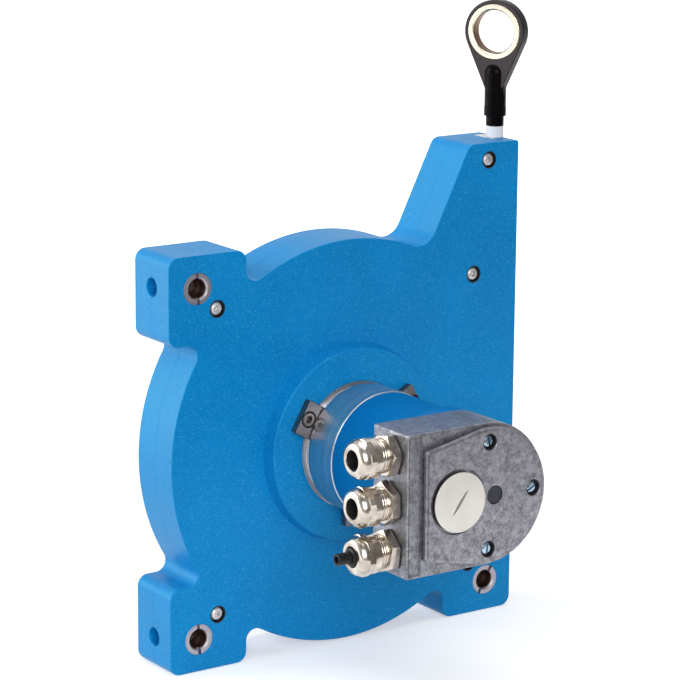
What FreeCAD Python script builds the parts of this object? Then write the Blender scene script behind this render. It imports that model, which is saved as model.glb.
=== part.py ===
import FreeCAD, Part
import math
import os

import Sketcher

# Draw wire encoder: a flat two-shell drum housing with a wire outlet tower, and a round absolute
# encoder with a cable adapter on its front.
# The origin is the centre of the rear mounting face, on the drum axis. X runs to the right along
# the housing, Y runs to the rear and Z runs up, along the wire. A depth is a distance in front of
# the rear face, so it counts along minus Y. All lengths are in millimetres.

document = FreeCAD.newDocument("DrawWireEncoder")

# Driving dimensions

DRIVING_SIZES = (
    ("body_width", 190, "width of the housing, and height of its square part"),
    ("body_depth", 29, "depth of the closed housing"),
    ("rear_shell_depth", 14.5, "depth of the rear shell, up to the parting plane"),
    ("face_wall", 3, "thickness of the front and rear walls"),
    ("lug_proud", 1, "distance by which the lugs stand out beyond the round part"),
    ("case_wall", 3.7, "wall around the drum"),
    ("lug_size", 40, "side of each square corner lug"),
    ("lug_corner_radius", 5, "rounding of the corners of a lug"),
    ("notch_radius", 5, "rounding of the notch beside a lug"),
    ("tower_rise", 36.2, "height of the tower above the lugs"),
    ("tower_top_width", 28.4, "width of the top of the tower"),
    ("tower_slope", 26.4, "lean of the left side of the tower, in degrees"),
    ("tower_corner_radius", 5, "rounding at the top left of the tower"),
    ("tower_edge_radius", 1.5, "rounding at the top right of the tower"),
    ("valley_radius", 10, "rounding where the tower meets the round part"),
    ("sleeve_inset", 14.9, "distance of the sleeves and side holes from the outer faces"),
    ("sleeve_radius", 7.1, "outside radius of a mounting sleeve"),
    ("sleeve_bore_radius", 4.25, "core radius of the thread in a mounting sleeve"),
    ("sleeve_recess", 0.3, "distance of a sleeve's end below the face"),
    ("sleeve_slot_width", 1.5, "width of the driver slot of a sleeve"),
    ("sleeve_slot_depth", 2.2, "depth of the driver slot of a sleeve"),
    ("side_hole_radius", 4.25, "radius of the side mounting holes"),
    ("side_hole_depth", 6.5, "depth of the side mounting holes"),
    ("case_screw_inset", 24.9, "distance of the corner housing screws from the outer faces"),
    ("tower_screw_inset", 17, "distance of the tower's upper screw from its right side"),
    ("tower_screw_drop", 8, "distance of the tower's upper screw below its top"),
    ("case_screw_seat_radius", 4.05, "radius of the counterbore of a housing screw"),
    ("case_screw_seat_depth", 3.5, "depth of the counterbore of a housing screw"),
    ("case_screw_head_radius", 2.9, "radius of the head of a housing screw"),
    ("case_screw_head_height", 3, "height of the head of a housing screw"),
    ("case_screw_radius", 1.5, "radius of the shank of a housing screw"),
    ("case_screw_length", 16, "length of the shank of a housing screw"),
    ("boss_radius", 44.9, "radius of the raised boss that carries the encoder"),
    ("boss_height", 6.5, "height of the raised boss"),
    ("boss_edge", 0.8, "rounding of the edge of the raised boss"),
    ("wire_inset", 4.8, "distance of the vertical wire from the right side"),
    ("wire_front_inset", 12.5, "distance of the wire behind the front face"),
    ("wire_radius", 0.4, "radius of the measuring wire"),
    ("drum_flange_lip", 3.8, "height of the drum's flanges above the wound wire"),
    ("winding_width", 13.8, "width of the wound wire on the drum"),
    ("drum_flange_width", 1.2, "thickness of each flange of the drum"),
    ("drum_rim_thickness", 3.7, "thickness of the rim of the drum"),
    ("drum_gap", 1, "radial gap between drum and housing"),
        ("web_thickness", 3, "thickness of the drum's web"),
    ("web_hole_count", 6, "number of lightening holes in the web"),
    ("web_hole_radius", 13, "radius of a lightening hole"),
    ("spring_cup_radius", 41, "inside radius of the spring cup"),
    ("spring_cup_wall", 2.5, "wall of the spring cup"),
    ("spring_cover_thickness", 1.5, "thickness of the spring cover"),
    ("spring_thickness", 0.6, "thickness of the spring strip"),
    ("spring_turns", 6, "number of turns of the spring strip"),
    ("arbor_radius", 11, "outside radius of the spring arbor"),
    ("arbor_flange_radius", 20, "radius of the foot of the spring arbor"),
    ("arbor_flange_thickness", 2, "thickness of the foot of the spring arbor"),
    ("arbor_gap", 0.7, "gap between the arbor's free end and the drum's web"),
    ("arbor_spigot_step", 2, "distance of the arbor's spigot inside its barrel"),
    ("arbor_spigot_length", 1.5, "depth of the arbor's spigot in the rear wall"),
    ("spring_gap", 0.35, "gap beside the spring strip"),
    ("shaft_radius", 4, "radius of the drum shaft"),
    ("shaft_flange_radius", 16, "radius of the flange of the drum shaft"),
    ("shaft_flange_thickness", 3.2, "thickness of the flange of the drum shaft"),
    ("shaft_flange_gap", 0.8, "gap between the shaft's flange and the front wall"),
    ("shaft_reach", 2.5, "length of the drum shaft in front of the boss"),
    ("shaft_collar_step", 1.5, "height of the shaft's collar"),
    ("shaft_socket_length", 8, "depth of the socket for the encoder shaft"),
    ("shaft_end_gap", 0.2, "gap at the ends and collar of the drum shaft"),
    ("drum_bearing_radius", 8, "outside radius of the drum bearings"),
    ("bearing_shoulder", 2, "height of the shoulder behind a bearing"),
    ("drum_bearing_width", 5, "width of the drum bearings"),
    ("running_clearance", 0.03, "radial clearance of a shaft in its bearing"),
    ("seat_clearance", 0.05, "clearance of a fixed piece in its seat"),
    ("guide_width", 7, "width of the wire guide block"),
    ("guide_side_wall", 2, "wall of the housing beside the wire guide block"),
    ("guide_front_wall", 9.3, "wall in front of the wire guide block"),
    ("guide_rear_wall", 5.5, "wall behind the wire guide block"),
    ("guide_height", 20, "height of the wire guide block"),
    ("bush_radius", 2.4, "outside radius of the ceramic guide bush"),
    ("bush_bore_radius", 0.75, "bore radius of the ceramic guide bush"),
    ("bush_height", 6, "height of the ceramic guide bush"),
    ("bumper_radius", 4.1, "radius of the white bumper"),
    ("bumper_height", 5.5, "height of the white bumper"),
    ("bumper_gap", 0.1, "gap between the bumper and the top of the tower"),
    ("ferrule_radius", 4.2, "radius of the wire ferrule"),
    ("ferrule_length", 13, "length of the wire ferrule"),
    ("stem_radius", 5.2, "radius of the stem of the eye"),
    ("ferrule_show", 4.7, "length of the ferrule between bumper and stem"),
    ("stem_length", 25.3, "length of the stem of the eye"),
    ("stem_lip", 2, "height of the lip that holds the ferrule's head"),
    ("ferrule_neck_step", 0.9, "depth of the neck of the ferrule"),
    ("ferrule_cap", 1, "thickness of the ferrule above the wire's end"),
    ("swivel_clearance", 0.1, "radial clearance of the ferrule in the stem"),
    ("eye_reach", 39.4, "height of the eye's centre above the end of its stem"),
    ("eye_radius", 14.65, "outside radius of the eye"),
    ("eye_thickness", 6.5, "thickness of the eye"),
    ("eye_neck_reach", 11.5, "height above the stem's end where the eye's taper starts"),
    ("eye_neck_inset", 1.6, "distance inside the stem's side where the eye's taper starts"),
    ("eye_turn", -60, "turn of the eye about the wire as drawn, in degrees"),
    ("eye_bush_radius", 12.75, "outside radius of the brass bush of the eye"),
    ("eye_bore_radius", 10, "bore radius of the brass bush of the eye"),
    ("eye_bush_proud", 0.2, "distance by which the brass bush stands proud"),
    ("eye_bush_bevel", 0.8, "bevel at the ends of the brass bush's bore"),
    ("servo_lip_radius", 29.5, "radius of the servo flange and its lip"),
    ("servo_lip_width", 2.2, "width of the lip in the boss"),
    ("servo_groove_radius", 27.5, "radius at the bottom of the servo groove"),
    ("servo_groove_width", 4.2, "width of the servo groove"),
    ("servo_flange_length", 18.8, "length of the machined flange in front of the groove"),
    ("flange_chamfer", 0.5, "chamfer on the edges of the machined flange"),
    ("clamp_screw_offset", 3.5, "distance of the clamp screws outside the servo lip"),
    ("clamp_overlap", 1.5, "overlap of a clamp over the servo lip"),
    ("clamp_reach", 7.3, "reach of a clamp outside the servo lip"),
    ("clamp_width", 16, "width of a clamp along the flange"),
    ("clamp_thickness", 4, "thickness of a clamp"),
    ("clamp_screw_seat_radius", 3.8, "counterbore radius of a clamp"),
    ("clamp_screw_seat_depth", 2.6, "counterbore depth of a clamp"),
    ("clamp_screw_head_radius", 3.3, "head radius of a clamp screw"),
    ("clamp_screw_head_height", 2.5, "head height of a clamp screw"),
    ("clamp_screw_radius", 2, "shank radius of a clamp screw"),
    ("clamp_screw_length", 8, "shank length of a clamp screw"),
    ("tube_step", 0.3, "step from the servo flange down to the encoder housing"),
    ("tube_wall", 1.9, "wall of the encoder housing"),
    ("tube_length", 40, "length of the encoder housing up to its collar"),
    ("collar_step", 2.2, "height of the collar of the encoder housing"),
    ("collar_length", 8.5, "length of the collar of the encoder housing"),
    ("encoder_shaft_radius", 3, "radius of the encoder shaft"),
    ("encoder_bearing_radius", 7.5, "outside radius of the encoder bearings"),
    ("encoder_bearing_width", 5, "width of the encoder bearings"),
    ("disc_margin", 1.3, "gap between the code disc and the board spacers"),
    ("disc_board_gap", 2.8, "gap between the code disc and the sensor board"),
    ("disc_hub_radius", 6, "radius of the hub that carries the code disc"),
    ("disc_hub_width", 1.5, "width of the hub that carries the code disc"),
    ("disc_thickness", 1.2, "thickness of the code disc"),
    ("board_clearance", 0.5, "gap between a round circuit board and the encoder housing"),
    ("board_thickness", 1.6, "thickness of the circuit boards"),
    ("sensor_spacer_length", 5.5, "length of the spacers under the sensor board"),
    ("main_spacer_length", 13.4, "length of the spacers under the main board"),
    ("spacer_radius", 1.6, "radius of a board spacer"),
    ("spacer_inset", 1.9, "distance of a board spacer inside the board's edge"),
    ("adapter_radius", 31.5, "radius of the round side, and half height, of the adapter"),
    ("adapter_left", 41, "distance of the gland face from the axis"),
    ("adapter_length", 25.3, "length of the adapter along the axis"),
    ("adapter_wall", 3.2, "wall of the adapter"),
    ("gland_wall", 6, "thickness of the wall that carries the glands"),
    ("strip_margin", 0.6, "distance of the bare strip from the gland face"),
    ("strip_gap", 0.7, "distance between the bare strip and the cap"),
    ("strip_recess", 0.35, "depth of the bare strip"),
    ("gasket_thickness", 0.8, "thickness of the cap gasket"),
    ("gasket_inset", 0.7, "distance of the gasket inside the cap's outline"),
    ("gasket_width", 1.1, "width of the cap gasket"),
    ("cap_inset", 1.4, "distance of the cap's edge inside the adapter's round side"),
    ("cap_side_inset", 7.8, "distance of the cap's left edge from the gland face"),
    ("cap_half_height", 24, "half height of the cap's left edge"),
    ("cap_thickness", 2.2, "thickness of the cap above its gasket"),
    ("cap_spigot", 2.6, "height of the step inside the cap"),
    ("cap_spigot_inset", 2, "distance of the cap's inner step inside its outline"),
    ("cap_screw_inset", 6.35, "distance of the cap screws inside the cap's edge"),
    ("adapter_spigot_gap", 2, "distance of the adapter's spigot from the step in the collar"),
    ("mouth_gap", 1, "gap below the step inside the cap"),
    ("cap_screw_seat_radius", 3.65, "counterbore radius of a cap screw"),
    ("cap_screw_seat_depth", 3.3, "counterbore depth of a cap screw"),
    ("cap_screw_head_radius", 2.7, "head radius of a cap screw"),
    ("cap_screw_head_height", 2.2, "head height of a cap screw"),
    ("cap_screw_radius", 1.45, "shank radius of a cap screw"),
    ("cap_screw_length", 11, "shank length of a cap screw"),
    ("cap_screw_slot_width", 0.8, "width of the slot of a cap screw"),
    ("plug_across", 16.5, "distance of the access plug's centre left of the axis"),
    ("plug_radius", 13.2, "radius of the head of the access plug"),
    ("plug_head_height", 2, "height of the head of the access plug"),
    ("plug_seat_gap", 1, "gap around the head of the access plug"),
    ("plug_seat_depth", 1.2, "depth of the recess for the access plug"),
    ("plug_overlap", 2.2, "overlap of the head of the access plug over its thread"),
    ("plug_slot_length", 14, "length of the slot of the access plug"),
    ("plug_slot_width", 1.5, "width of the slot of the access plug"),
    ("plug_slot_depth", 1, "depth of the slot of the access plug"),
    ("plug_slot_angle", 53, "turn of the slot of the access plug, in degrees"),
    ("plug_ring_width", 1.4, "radial width of the access plug's seal ring"),
    ("plug_ring_height", 0.7, "height of the access plug's seal ring"),
    ("lens_across", 3, "distance of the status lens right of the axis"),
    ("lens_radius", 4.1, "radius of the status lens"),
    ("lens_thickness", 1, "thickness of the status lens"),
    ("lens_recess", 0.7, "distance of the lens below the cap's face"),
    ("lens_ledge", 0.8, "width of the ledge under the lens"),
    ("gland_pitch", 21, "distance between the cable glands"),
    ("gland_flats", 17, "width across the flats of a gland"),
    ("gland_hex_height", 4.5, "height of the fixed hexagon of a gland"),
    ("gland_neck_radius", 7.3, "radius of the threaded neck of a gland"),
    ("gland_neck_length", 8.8, "length of the threaded neck of a gland"),
    ("gland_thread_radius", 7.55, "radius of the thread of a gland in the adapter"),
    ("gland_nut_length", 10.8, "length of a gland nut"),
    ("gland_nut_overlap", 5, "length of a gland nut over the neck"),
    ("gland_nut_face_radius", 6.9, "radius of the flat front of a gland nut"),
    ("gland_nut_dome", 4.5, "length of the domed end of a gland nut"),
    ("gland_nut_radius", 9.4, "radius to which the corners of a gland nut are turned"),
    ("gland_nut_hole_radius", 4.25, "radius of the front hole of a gland nut"),
    ("gland_nut_clearance", 0.1, "radial clearance of a gland nut on the neck"),
    ("gland_room_gap", 0.3, "gap around the seal inside a gland nut"),
    ("gland_seal_radius", 5.55, "outside radius of a gland seal"),
    ("gland_seal_length", 8.4, "length of a gland seal"),
    ("gland_ring_height", 0.7, "height of the seal ring under a gland"),
    ("gland_ring_width", 0.9, "radial width of the seal ring under a gland"),
    ("pin_radius", 2.6, "radius of the stub of the blanking pin"),
    ("pin_reach", 7.5, "distance of the blanking pin's end beyond the gland nut"),
    ("pin_hole_radius", 1.5, "radius of the hole in the blanking pin's end"),
    ("pin_hole_depth", 3, "depth of the hole in the blanking pin's end"),
)

sheet = document.addObject("Spreadsheet::Sheet", "Sizes")
sheet.set("A1", "Name")
sheet.set("B1", "Value")
sheet.set("C1", "Meaning")
for row, (alias, number, meaning) in enumerate(DRIVING_SIZES, start=2):
    sheet.set(f"A{row}", alias)
    sheet.set(f"B{row}", str(number))
    sheet.setAlias(f"B{row}", alias)
    sheet.set(f"C{row}", meaning)
document.recompute()


class Size:
    """A number together with the formula that gives it from the sheet."""

    def __init__(self, value, formula):
        self.value = float(value)
        self.formula = formula

    def __add__(self, other):
        other = as_size(other)
        return Size(self.value + other.value, f"({self.formula} + {other.formula})")

    def __radd__(self, other):
        return as_size(other) + self

    def __sub__(self, other):
        other = as_size(other)
        return Size(self.value - other.value, f"({self.formula} - {other.formula})")

    def __rsub__(self, other):
        return as_size(other) - self

    def __mul__(self, other):
        other = as_size(other)
        return Size(self.value * other.value, f"({self.formula} * {other.formula})")

    def __rmul__(self, other):
        return as_size(other) * self

    def __truediv__(self, other):
        other = as_size(other)
        return Size(self.value / other.value, f"({self.formula} / {other.formula})")

    def __neg__(self):
        return Size(-self.value, f"(-1 * {self.formula})")


def as_size(item):
    """Give a plain number the same form as a size from the sheet."""
    if isinstance(item, Size):
        return item
    return Size(item, repr(float(item)))


def cosine(angle):
    angle = as_size(angle)
    return Size(math.cos(math.radians(angle.value)), f"cos({angle.formula} * 1 deg)")


def sine(angle):
    angle = as_size(angle)
    return Size(math.sin(math.radians(angle.value)), f"sin({angle.formula} * 1 deg)")


def tangent(angle):
    angle = as_size(angle)
    return Size(math.tan(math.radians(angle.value)), f"tan({angle.formula} * 1 deg)")


def root(number):
    return Size(math.sqrt(number.value), f"sqrt({number.formula})")


def arc_cosine(number):
    return Size(math.degrees(math.acos(number.value)), f"(acos({number.formula}) / 1 deg)")


def arc_tangent(rise, run):
    ratio = rise / run
    return Size(math.degrees(math.atan(ratio.value)), f"(atan({ratio.formula}) / 1 deg)")


class Sheet:
    """The driving dimensions by name."""


size = Sheet()
for alias, _, _ in DRIVING_SIZES:
    setattr(size, alias, Size(sheet.get(alias), f"Sizes.{alias}"))

# Sizes that follow from the driving ones

half_width = size.body_width / 2
drum_case_radius = half_width - size.lug_proud
tower_top = half_width + size.tower_rise
sleeve_offset = half_width - size.sleeve_inset
case_screw_offset = half_width - size.case_screw_inset
front_depth = size.body_depth
boss_face = size.body_depth + size.boss_height
cavity_radius = drum_case_radius - size.case_wall
cavity_rear = size.face_wall
cavity_front = size.body_depth - size.face_wall
wire_across = half_width - size.wire_inset
drum_flange_radius = cavity_radius - size.drum_gap
winding_radius = drum_flange_radius - size.drum_flange_lip
wire_depth = front_depth - size.wire_front_inset
drum_front = wire_depth + size.winding_width / 2 + size.drum_flange_width
drum_rear = wire_depth - size.winding_width / 2 - size.drum_flange_width
shaft_flange_front = cavity_front - size.shaft_flange_gap
web_front = shaft_flange_front - size.shaft_flange_thickness
web_rear = web_front - size.web_thickness
guide_rear = size.guide_rear_wall
guide_front = front_depth - size.guide_front_wall
drum_core_radius = winding_radius - 2 * size.wire_radius
lip_rear = boss_face - size.servo_lip_width
drum_bearing_seat = lip_rear - size.drum_bearing_width
groove_front = boss_face + size.servo_groove_width
flange_front = groove_front + size.servo_flange_length
tube_radius = size.servo_lip_radius - size.tube_step
tube_inner = tube_radius - size.tube_wall
collar_radius = tube_radius + size.collar_step
collar_rear = flange_front + size.tube_length
adapter_rear = collar_rear + size.collar_length
adapter_front = adapter_rear + size.adapter_length
cap_radius = size.adapter_radius - size.cap_inset
cap_left = size.adapter_left - size.cap_side_inset
cap_rear = adapter_front + size.gasket_thickness
cap_front = cap_rear + size.cap_thickness
gland_depth = adapter_rear + size.adapter_length / 2
gland_hex_start = size.adapter_left + size.gland_ring_height
gland_neck_start = gland_hex_start + size.gland_hex_height
gland_neck_end = gland_neck_start + size.gland_neck_length
gland_nut_start = gland_neck_end - size.gland_nut_overlap
gland_nut_end = gland_nut_start + size.gland_nut_length
guide_right = half_width - size.guide_side_wall
guide_left = guide_right - size.guide_width
guide_bottom = tower_top - size.guide_height
bush_bottom = tower_top - size.sleeve_recess - size.bush_height
bumper_bottom = tower_top + size.bumper_gap
ferrule_bottom = bumper_bottom + size.bumper_height
ferrule_top = ferrule_bottom + size.ferrule_length
FULL_TURN = 360
HEXAGON_SIDES = 6
HEXAGON_HALF_ANGLE = 30
CLAMP_ANGLES = (150, 30, 270)
CAP_SCREW_ANGLES = (90, 0, 270)
SPACER_ANGLES = (60, 180, 300)

FRONT_PLANE = "XZ_Plane"
SIDE_PLANE = "YZ_Plane"
SKETCH_POINTS = ("edge", "start", "end", "centre")
SKETCH_ORIGIN = {"index": -1, "point": SKETCH_POINTS.index("start")}
TURN_TO_FRONT = FreeCAD.Rotation(FreeCAD.Vector(1, 0, 0), 90)
TURN_TO_LEFT = FreeCAD.Rotation(FreeCAD.Vector(0, 1, 0), -90)
NEAR = 0.05
LEAST_VOLUME = 0.001

pieces = []
cuts = []


def bind(item, path, number):
    """Let a property follow the sheet."""
    item.setExpression(path, as_size(number).formula)


def keep(item, label):
    """Name a finished sub-part."""
    item.Label = label
    pieces.append(item)
    return item


# Helpers for bodies made of sketches and features


def new_body(label):
    return keep(document.addObject("PartDesign::Body", label), label)


def new_sketch(body, name, role, offset=0):
    """Lay a sketch on one of the body's own planes, at a distance along the plane's normal."""
    sketch = body.newObject("Sketcher::SketchObject", name)
    plane = next(item for item in body.Origin.OriginFeatures if item.Role == role)
    sketch.AttachmentSupport = [(plane, "")]
    sketch.MapMode = "FlatFace"
    bind(sketch, "AttachmentOffset.Base.z", offset)
    return sketch


def lock_point(sketch, index, point, across, up):
    """Tie a point of a sketch to its distances from the origin."""
    for kind, number in (("DistanceX", as_size(across)), ("DistanceY", as_size(up))):
        constraint = Sketcher.Constraint(
            kind, *SKETCH_ORIGIN.values(), index, SKETCH_POINTS.index(point), number.value
        )
        bind(sketch, f"Constraints[{sketch.addConstraint(constraint)}]", number)


def draw_circle(sketch, across, up, radius):
    across, up, radius = as_size(across), as_size(up), as_size(radius)
    centre = FreeCAD.Vector(across.value, up.value, 0)
    index = sketch.addGeometry(Part.Circle(centre, FreeCAD.Vector(0, 0, 1), radius.value), False)
    lock_point(sketch, index, "centre", across, up)
    constraint = Sketcher.Constraint("Radius", index, radius.value)
    bind(sketch, f"Constraints[{sketch.addConstraint(constraint)}]", radius)


def draw_outline(sketch, corners):
    """Draw a closed outline of straight lines."""
    corners = [(as_size(across), as_size(up)) for across, up in corners]
    points = [FreeCAD.Vector(across.value, up.value, 0) for across, up in corners]
    first = sketch.GeometryCount
    count = len(corners)
    for number in range(count):
        line = Part.LineSegment(points[number], points[(number + 1) % count])
        sketch.addGeometry(line, False)
    for number in range(count):
        here = first + number
        following = first + (number + 1) % count
        sketch.addConstraint(
            Sketcher.Constraint(
                "Coincident", here, SKETCH_POINTS.index("end"),
                following, SKETCH_POINTS.index("start"),
            )
        )
        lock_point(sketch, here, "start", *corners[number])


def rectangle(left, right, bottom, top):
    return ((left, bottom), (right, bottom), (right, top), (left, top))


def pad(body, sketch, length):
    """Add material from the sketch towards the front."""
    feature = body.newObject("PartDesign::Pad", f"{sketch.Name}Pad")
    feature.Profile = sketch
    bind(feature, "Length", length)
    document.recompute()
    return feature


def pocket(body, sketch, length, forward=False):
    """Take material away behind the sketch, or in front of it where forward is set."""
    feature = body.newObject("PartDesign::Pocket", f"{sketch.Name}Pocket")
    feature.Profile = sketch
    feature.Reversed = forward
    bind(feature, "Length", length)
    document.recompute()
    cuts.append(feature)
    return feature


def pad_outline(body, name, depth, length, corners):
    sketch = new_sketch(body, name, FRONT_PLANE, depth)
    draw_outline(sketch, corners)
    return pad(body, sketch, length)


def pad_circle(body, name, depth, length, radius, across=0, up=0):
    sketch = new_sketch(body, name, FRONT_PLANE, depth)
    draw_circle(sketch, across, up, radius)
    return pad(body, sketch, length)


def cut_circles(body, name, depth, length, radius, places=((0, 0),), forward=False):
    sketch = new_sketch(body, name, FRONT_PLANE, depth)
    for across, up in places:
        draw_circle(sketch, across, up, radius)
    return pocket(body, sketch, length, forward)


def cut_outline(body, name, depth, length, corners, forward=False):
    sketch = new_sketch(body, name, FRONT_PLANE, depth)
    draw_outline(sketch, corners)
    return pocket(body, sketch, length, forward)


def revolve(body, name, corners, role=SIDE_PLANE, axis="H_Axis"):
    """Turn an outline about an axis of its sketch."""
    sketch = new_sketch(body, name, role)
    draw_outline(sketch, corners)
    feature = body.newObject("PartDesign::Revolution", f"{name}Turn")
    feature.Profile = sketch
    feature.ReferenceAxis = (sketch, [axis])
    document.recompute()
    return feature


def round_edges(body, name, radius, chosen, kind="Fillet"):
    """Round or bevel the edges of the body's last feature for which the test holds."""
    base = body.Tip
    names = [f"Edge{number}" for number, edge in enumerate(base.Shape.Edges, 1) if chosen(edge)]
    if not names:
        raise ValueError(f"{name}: no edge found")
    feature = body.newObject(f"PartDesign::{kind}", name)
    feature.Base = (base, names)
    bind(feature, "Radius" if kind == "Fillet" else "Size", radius)
    document.recompute()
    return feature


def upright_edge_at(places):
    """Make a test for edges along Y at one of the given places in the front view."""
    places = [(as_size(across).value, as_size(up).value) for across, up in places]

    def chosen(edge):
        ends = [vertex.Point for vertex in edge.Vertexes]
        if len(ends) != 2 or math.hypot(ends[0].x - ends[1].x, ends[0].z - ends[1].z) > NEAR:
            return False
        return any(math.hypot(ends[0].x - x, ends[0].z - z) < NEAR for x, z in places)

    return chosen


def edge_in_plane(depth, least_length=0):
    """Make a test for edges that lie in the plane at a depth."""
    level = -as_size(depth).value

    def chosen(edge):
        box = edge.BoundBox
        flat = abs(box.YMin - level) < NEAR and abs(box.YMax - level) < NEAR
        return flat and edge.Length > least_length

    return chosen


# Helpers for pieces made of primitives


def place(item, across, depth, up, turn):
    """Set an object's turn and tie its place to the sheet."""
    item.Placement = FreeCAD.Placement(FreeCAD.Vector(0, 0, 0), turn)
    bind(item, "Placement.Base.x", across)
    bind(item, "Placement.Base.y", -as_size(depth))
    bind(item, "Placement.Base.z", up)


def cylinder(name, radius, length, across=0, depth=0, up=0, turn=TURN_TO_FRONT):
    """Make a cylinder that runs to the front, or as its turn says, from the given place."""
    item = document.addObject("Part::Cylinder", name)
    bind(item, "Radius", radius)
    bind(item, "Height", length)
    place(item, across, depth, up, turn)
    return item


def hexagon(name, flats, length, across, depth, up, turn):
    item = document.addObject("Part::Prism", name)
    item.Polygon = HEXAGON_SIDES
    bind(item, "Circumradius", as_size(flats) / 2 / cosine(HEXAGON_HALF_ANGLE))
    bind(item, "Height", length)
    place(item, across, depth, up, turn)
    return item


def box(name, left, right, rear_depth, near_depth, bottom, top):
    item = document.addObject("Part::Box", name)
    bind(item, "Length", as_size(right) - left)
    bind(item, "Width", as_size(near_depth) - rear_depth)
    bind(item, "Height", as_size(top) - bottom)
    place(item, left, near_depth, bottom, FreeCAD.Rotation())
    return item


def fuse(name, items):
    item = document.addObject("Part::MultiFuse", name)
    item.Shapes = items
    item.Refine = True
    return item


def subtract(name, base, tools):
    item = document.addObject("Part::Cut", name)
    item.Base = base
    item.Tool = tools[0] if len(tools) == 1 else fuse(f"{name}Tools", tools)
    return item


def group(label, items):
    item = document.addObject("Part::Compound", label)
    item.Links = items
    return keep(item, label)


def place_on_circle(radius, angle):
    return radius * cosine(angle), radius * sine(angle)


def turned(label, profile, across=0, depth=0, up=0, turn=None, axis="Y"):
    """Turn a profile of (distance along the axis, radius) corners into a solid of its own."""
    body = new_body(label)
    if axis == "Y":
        revolve(body, f"{label}Profile", [(-as_size(along), out) for along, out in profile])
    elif axis == "Z":
        corners = [(out, along) for along, out in profile]
        revolve(body, f"{label}Profile", corners, FRONT_PLANE, "V_Axis")
    else:
        corners = [(-as_size(along), out) for along, out in profile]
        revolve(body, f"{label}Profile", corners, FRONT_PLANE, "H_Axis")
    place(body, across, depth, up, turn or FreeCAD.Rotation())
    return body


def turn_by(item, axis, angle):
    """Turn an object about an axis by an angle from the sheet."""
    angle = as_size(angle)
    item.Placement = FreeCAD.Placement(item.Placement.Base, FreeCAD.Rotation(axis, angle.value))
    bind(item, "Placement.Rotation.Angle", angle)


# Housing

LUGS = ((-1, 1), (-1, -1), (1, -1))
tower_left = half_width - size.tower_top_width
tower_foot = tower_left - tower_top * tangent(size.tower_slope)
lug_inner = half_width - size.lug_size
notch_reach = root(drum_case_radius * drum_case_radius - lug_inner * lug_inner)
slope_reach = tower_left * sine(size.tower_slope) + tower_top * cosine(size.tower_slope)
slope_miss = tower_left * cosine(size.tower_slope) - tower_top * sine(size.tower_slope)
slope_drop = slope_reach - root(
    drum_case_radius * drum_case_radius - slope_miss * slope_miss
)
valley = (
    tower_left - slope_drop * sine(size.tower_slope),
    tower_top - slope_drop * cosine(size.tower_slope),
)
lug_places = [(x * sleeve_offset, z * sleeve_offset) for x, z in LUGS]
case_screw_places = [
    (x * case_screw_offset, z * case_screw_offset) for x in (-1, 1) for z in (-1, 1)
]
case_screw_places.append((half_width - size.tower_screw_inset, tower_top - size.tower_screw_drop))
case_screw_seat = size.body_depth - size.case_screw_seat_depth
case_screw_tip = case_screw_seat - size.case_screw_length


def add_case_outline(body, depth, length):
    """Pad the outline of the housing and round its corners."""
    name = body.Label
    pad_circle(body, f"{name}Round", depth, length, drum_case_radius)
    for number, (x, z) in enumerate(LUGS, 1):
        pad_outline(body, f"{name}Lug{number}", depth, length, (
            (x * lug_inner, z * lug_inner),
            (x * half_width, z * lug_inner),
            (x * half_width, z * half_width),
            (x * lug_inner, z * half_width),
        ))
    pad_outline(body, f"{name}Tower", depth, length, (
        (tower_foot, 0),
        (half_width, 0),
        (half_width, tower_top),
        (tower_left, tower_top),
    ))
    corners = []
    notches = []
    for x, z in LUGS:
        corners += [(x * half_width, z * half_width)]
        corners += [(x * half_width, z * lug_inner), (x * lug_inner, z * half_width)]
        notches += [(x * notch_reach, z * lug_inner), (x * lug_inner, z * notch_reach)]
    round_edges(body, f"{name}LugCorners", size.lug_corner_radius, upright_edge_at(corners))
    round_edges(body, f"{name}Notches", size.notch_radius, upright_edge_at(notches))
    round_edges(body, f"{name}Valley", size.valley_radius, upright_edge_at([valley]))
    round_edges(
        body, f"{name}TowerCorner", size.tower_corner_radius,
        upright_edge_at([(tower_left, tower_top)]),
    )
    round_edges(
        body, f"{name}TowerEdge", size.tower_edge_radius,
        upright_edge_at([(half_width, tower_top)]),
    )


def cut_side_holes(body):
    """Cut the side mounting holes, which lie half in each shell."""
    for number, side in enumerate((-1, 1), 1):
        sketch = new_sketch(body, f"{body.Label}SideHole{number}", SIDE_PLANE, -half_width)
        draw_circle(
            sketch, -size.rear_shell_depth, side * sleeve_offset, size.side_hole_radius
        )
        pocket(body, sketch, size.side_hole_depth, True)


def make_rear_shell():
    body = new_body("rear_shell")
    add_case_outline(body, 0, size.rear_shell_depth)
    parting = size.rear_shell_depth
    cut_circles(body, "RearCavity", parting, parting - cavity_rear, cavity_radius)
    cut_circles(
        body, "RearSleeveHoles", parting, parting,
        size.sleeve_radius + size.seat_clearance, lug_places,
    )
    cut_circles(
        body, "RearScrewHoles", parting, parting - case_screw_tip + size.seat_clearance,
        size.case_screw_radius + size.seat_clearance, case_screw_places,
    )
    cut_side_holes(body)
    cut_outline(body, "RearChannel", parting, parting - channel_rear, channel_corners)
    cut_outline(
        body, "RearGuideSeat", parting,
        parting - guide_rear + size.seat_clearance, guide_seat_corners,
    )
    cut_circles(
        body, "ArborSocket", cavity_rear, size.arbor_spigot_length + size.seat_clearance,
        arbor_spigot_radius + size.seat_clearance,
    )
    return body


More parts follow.
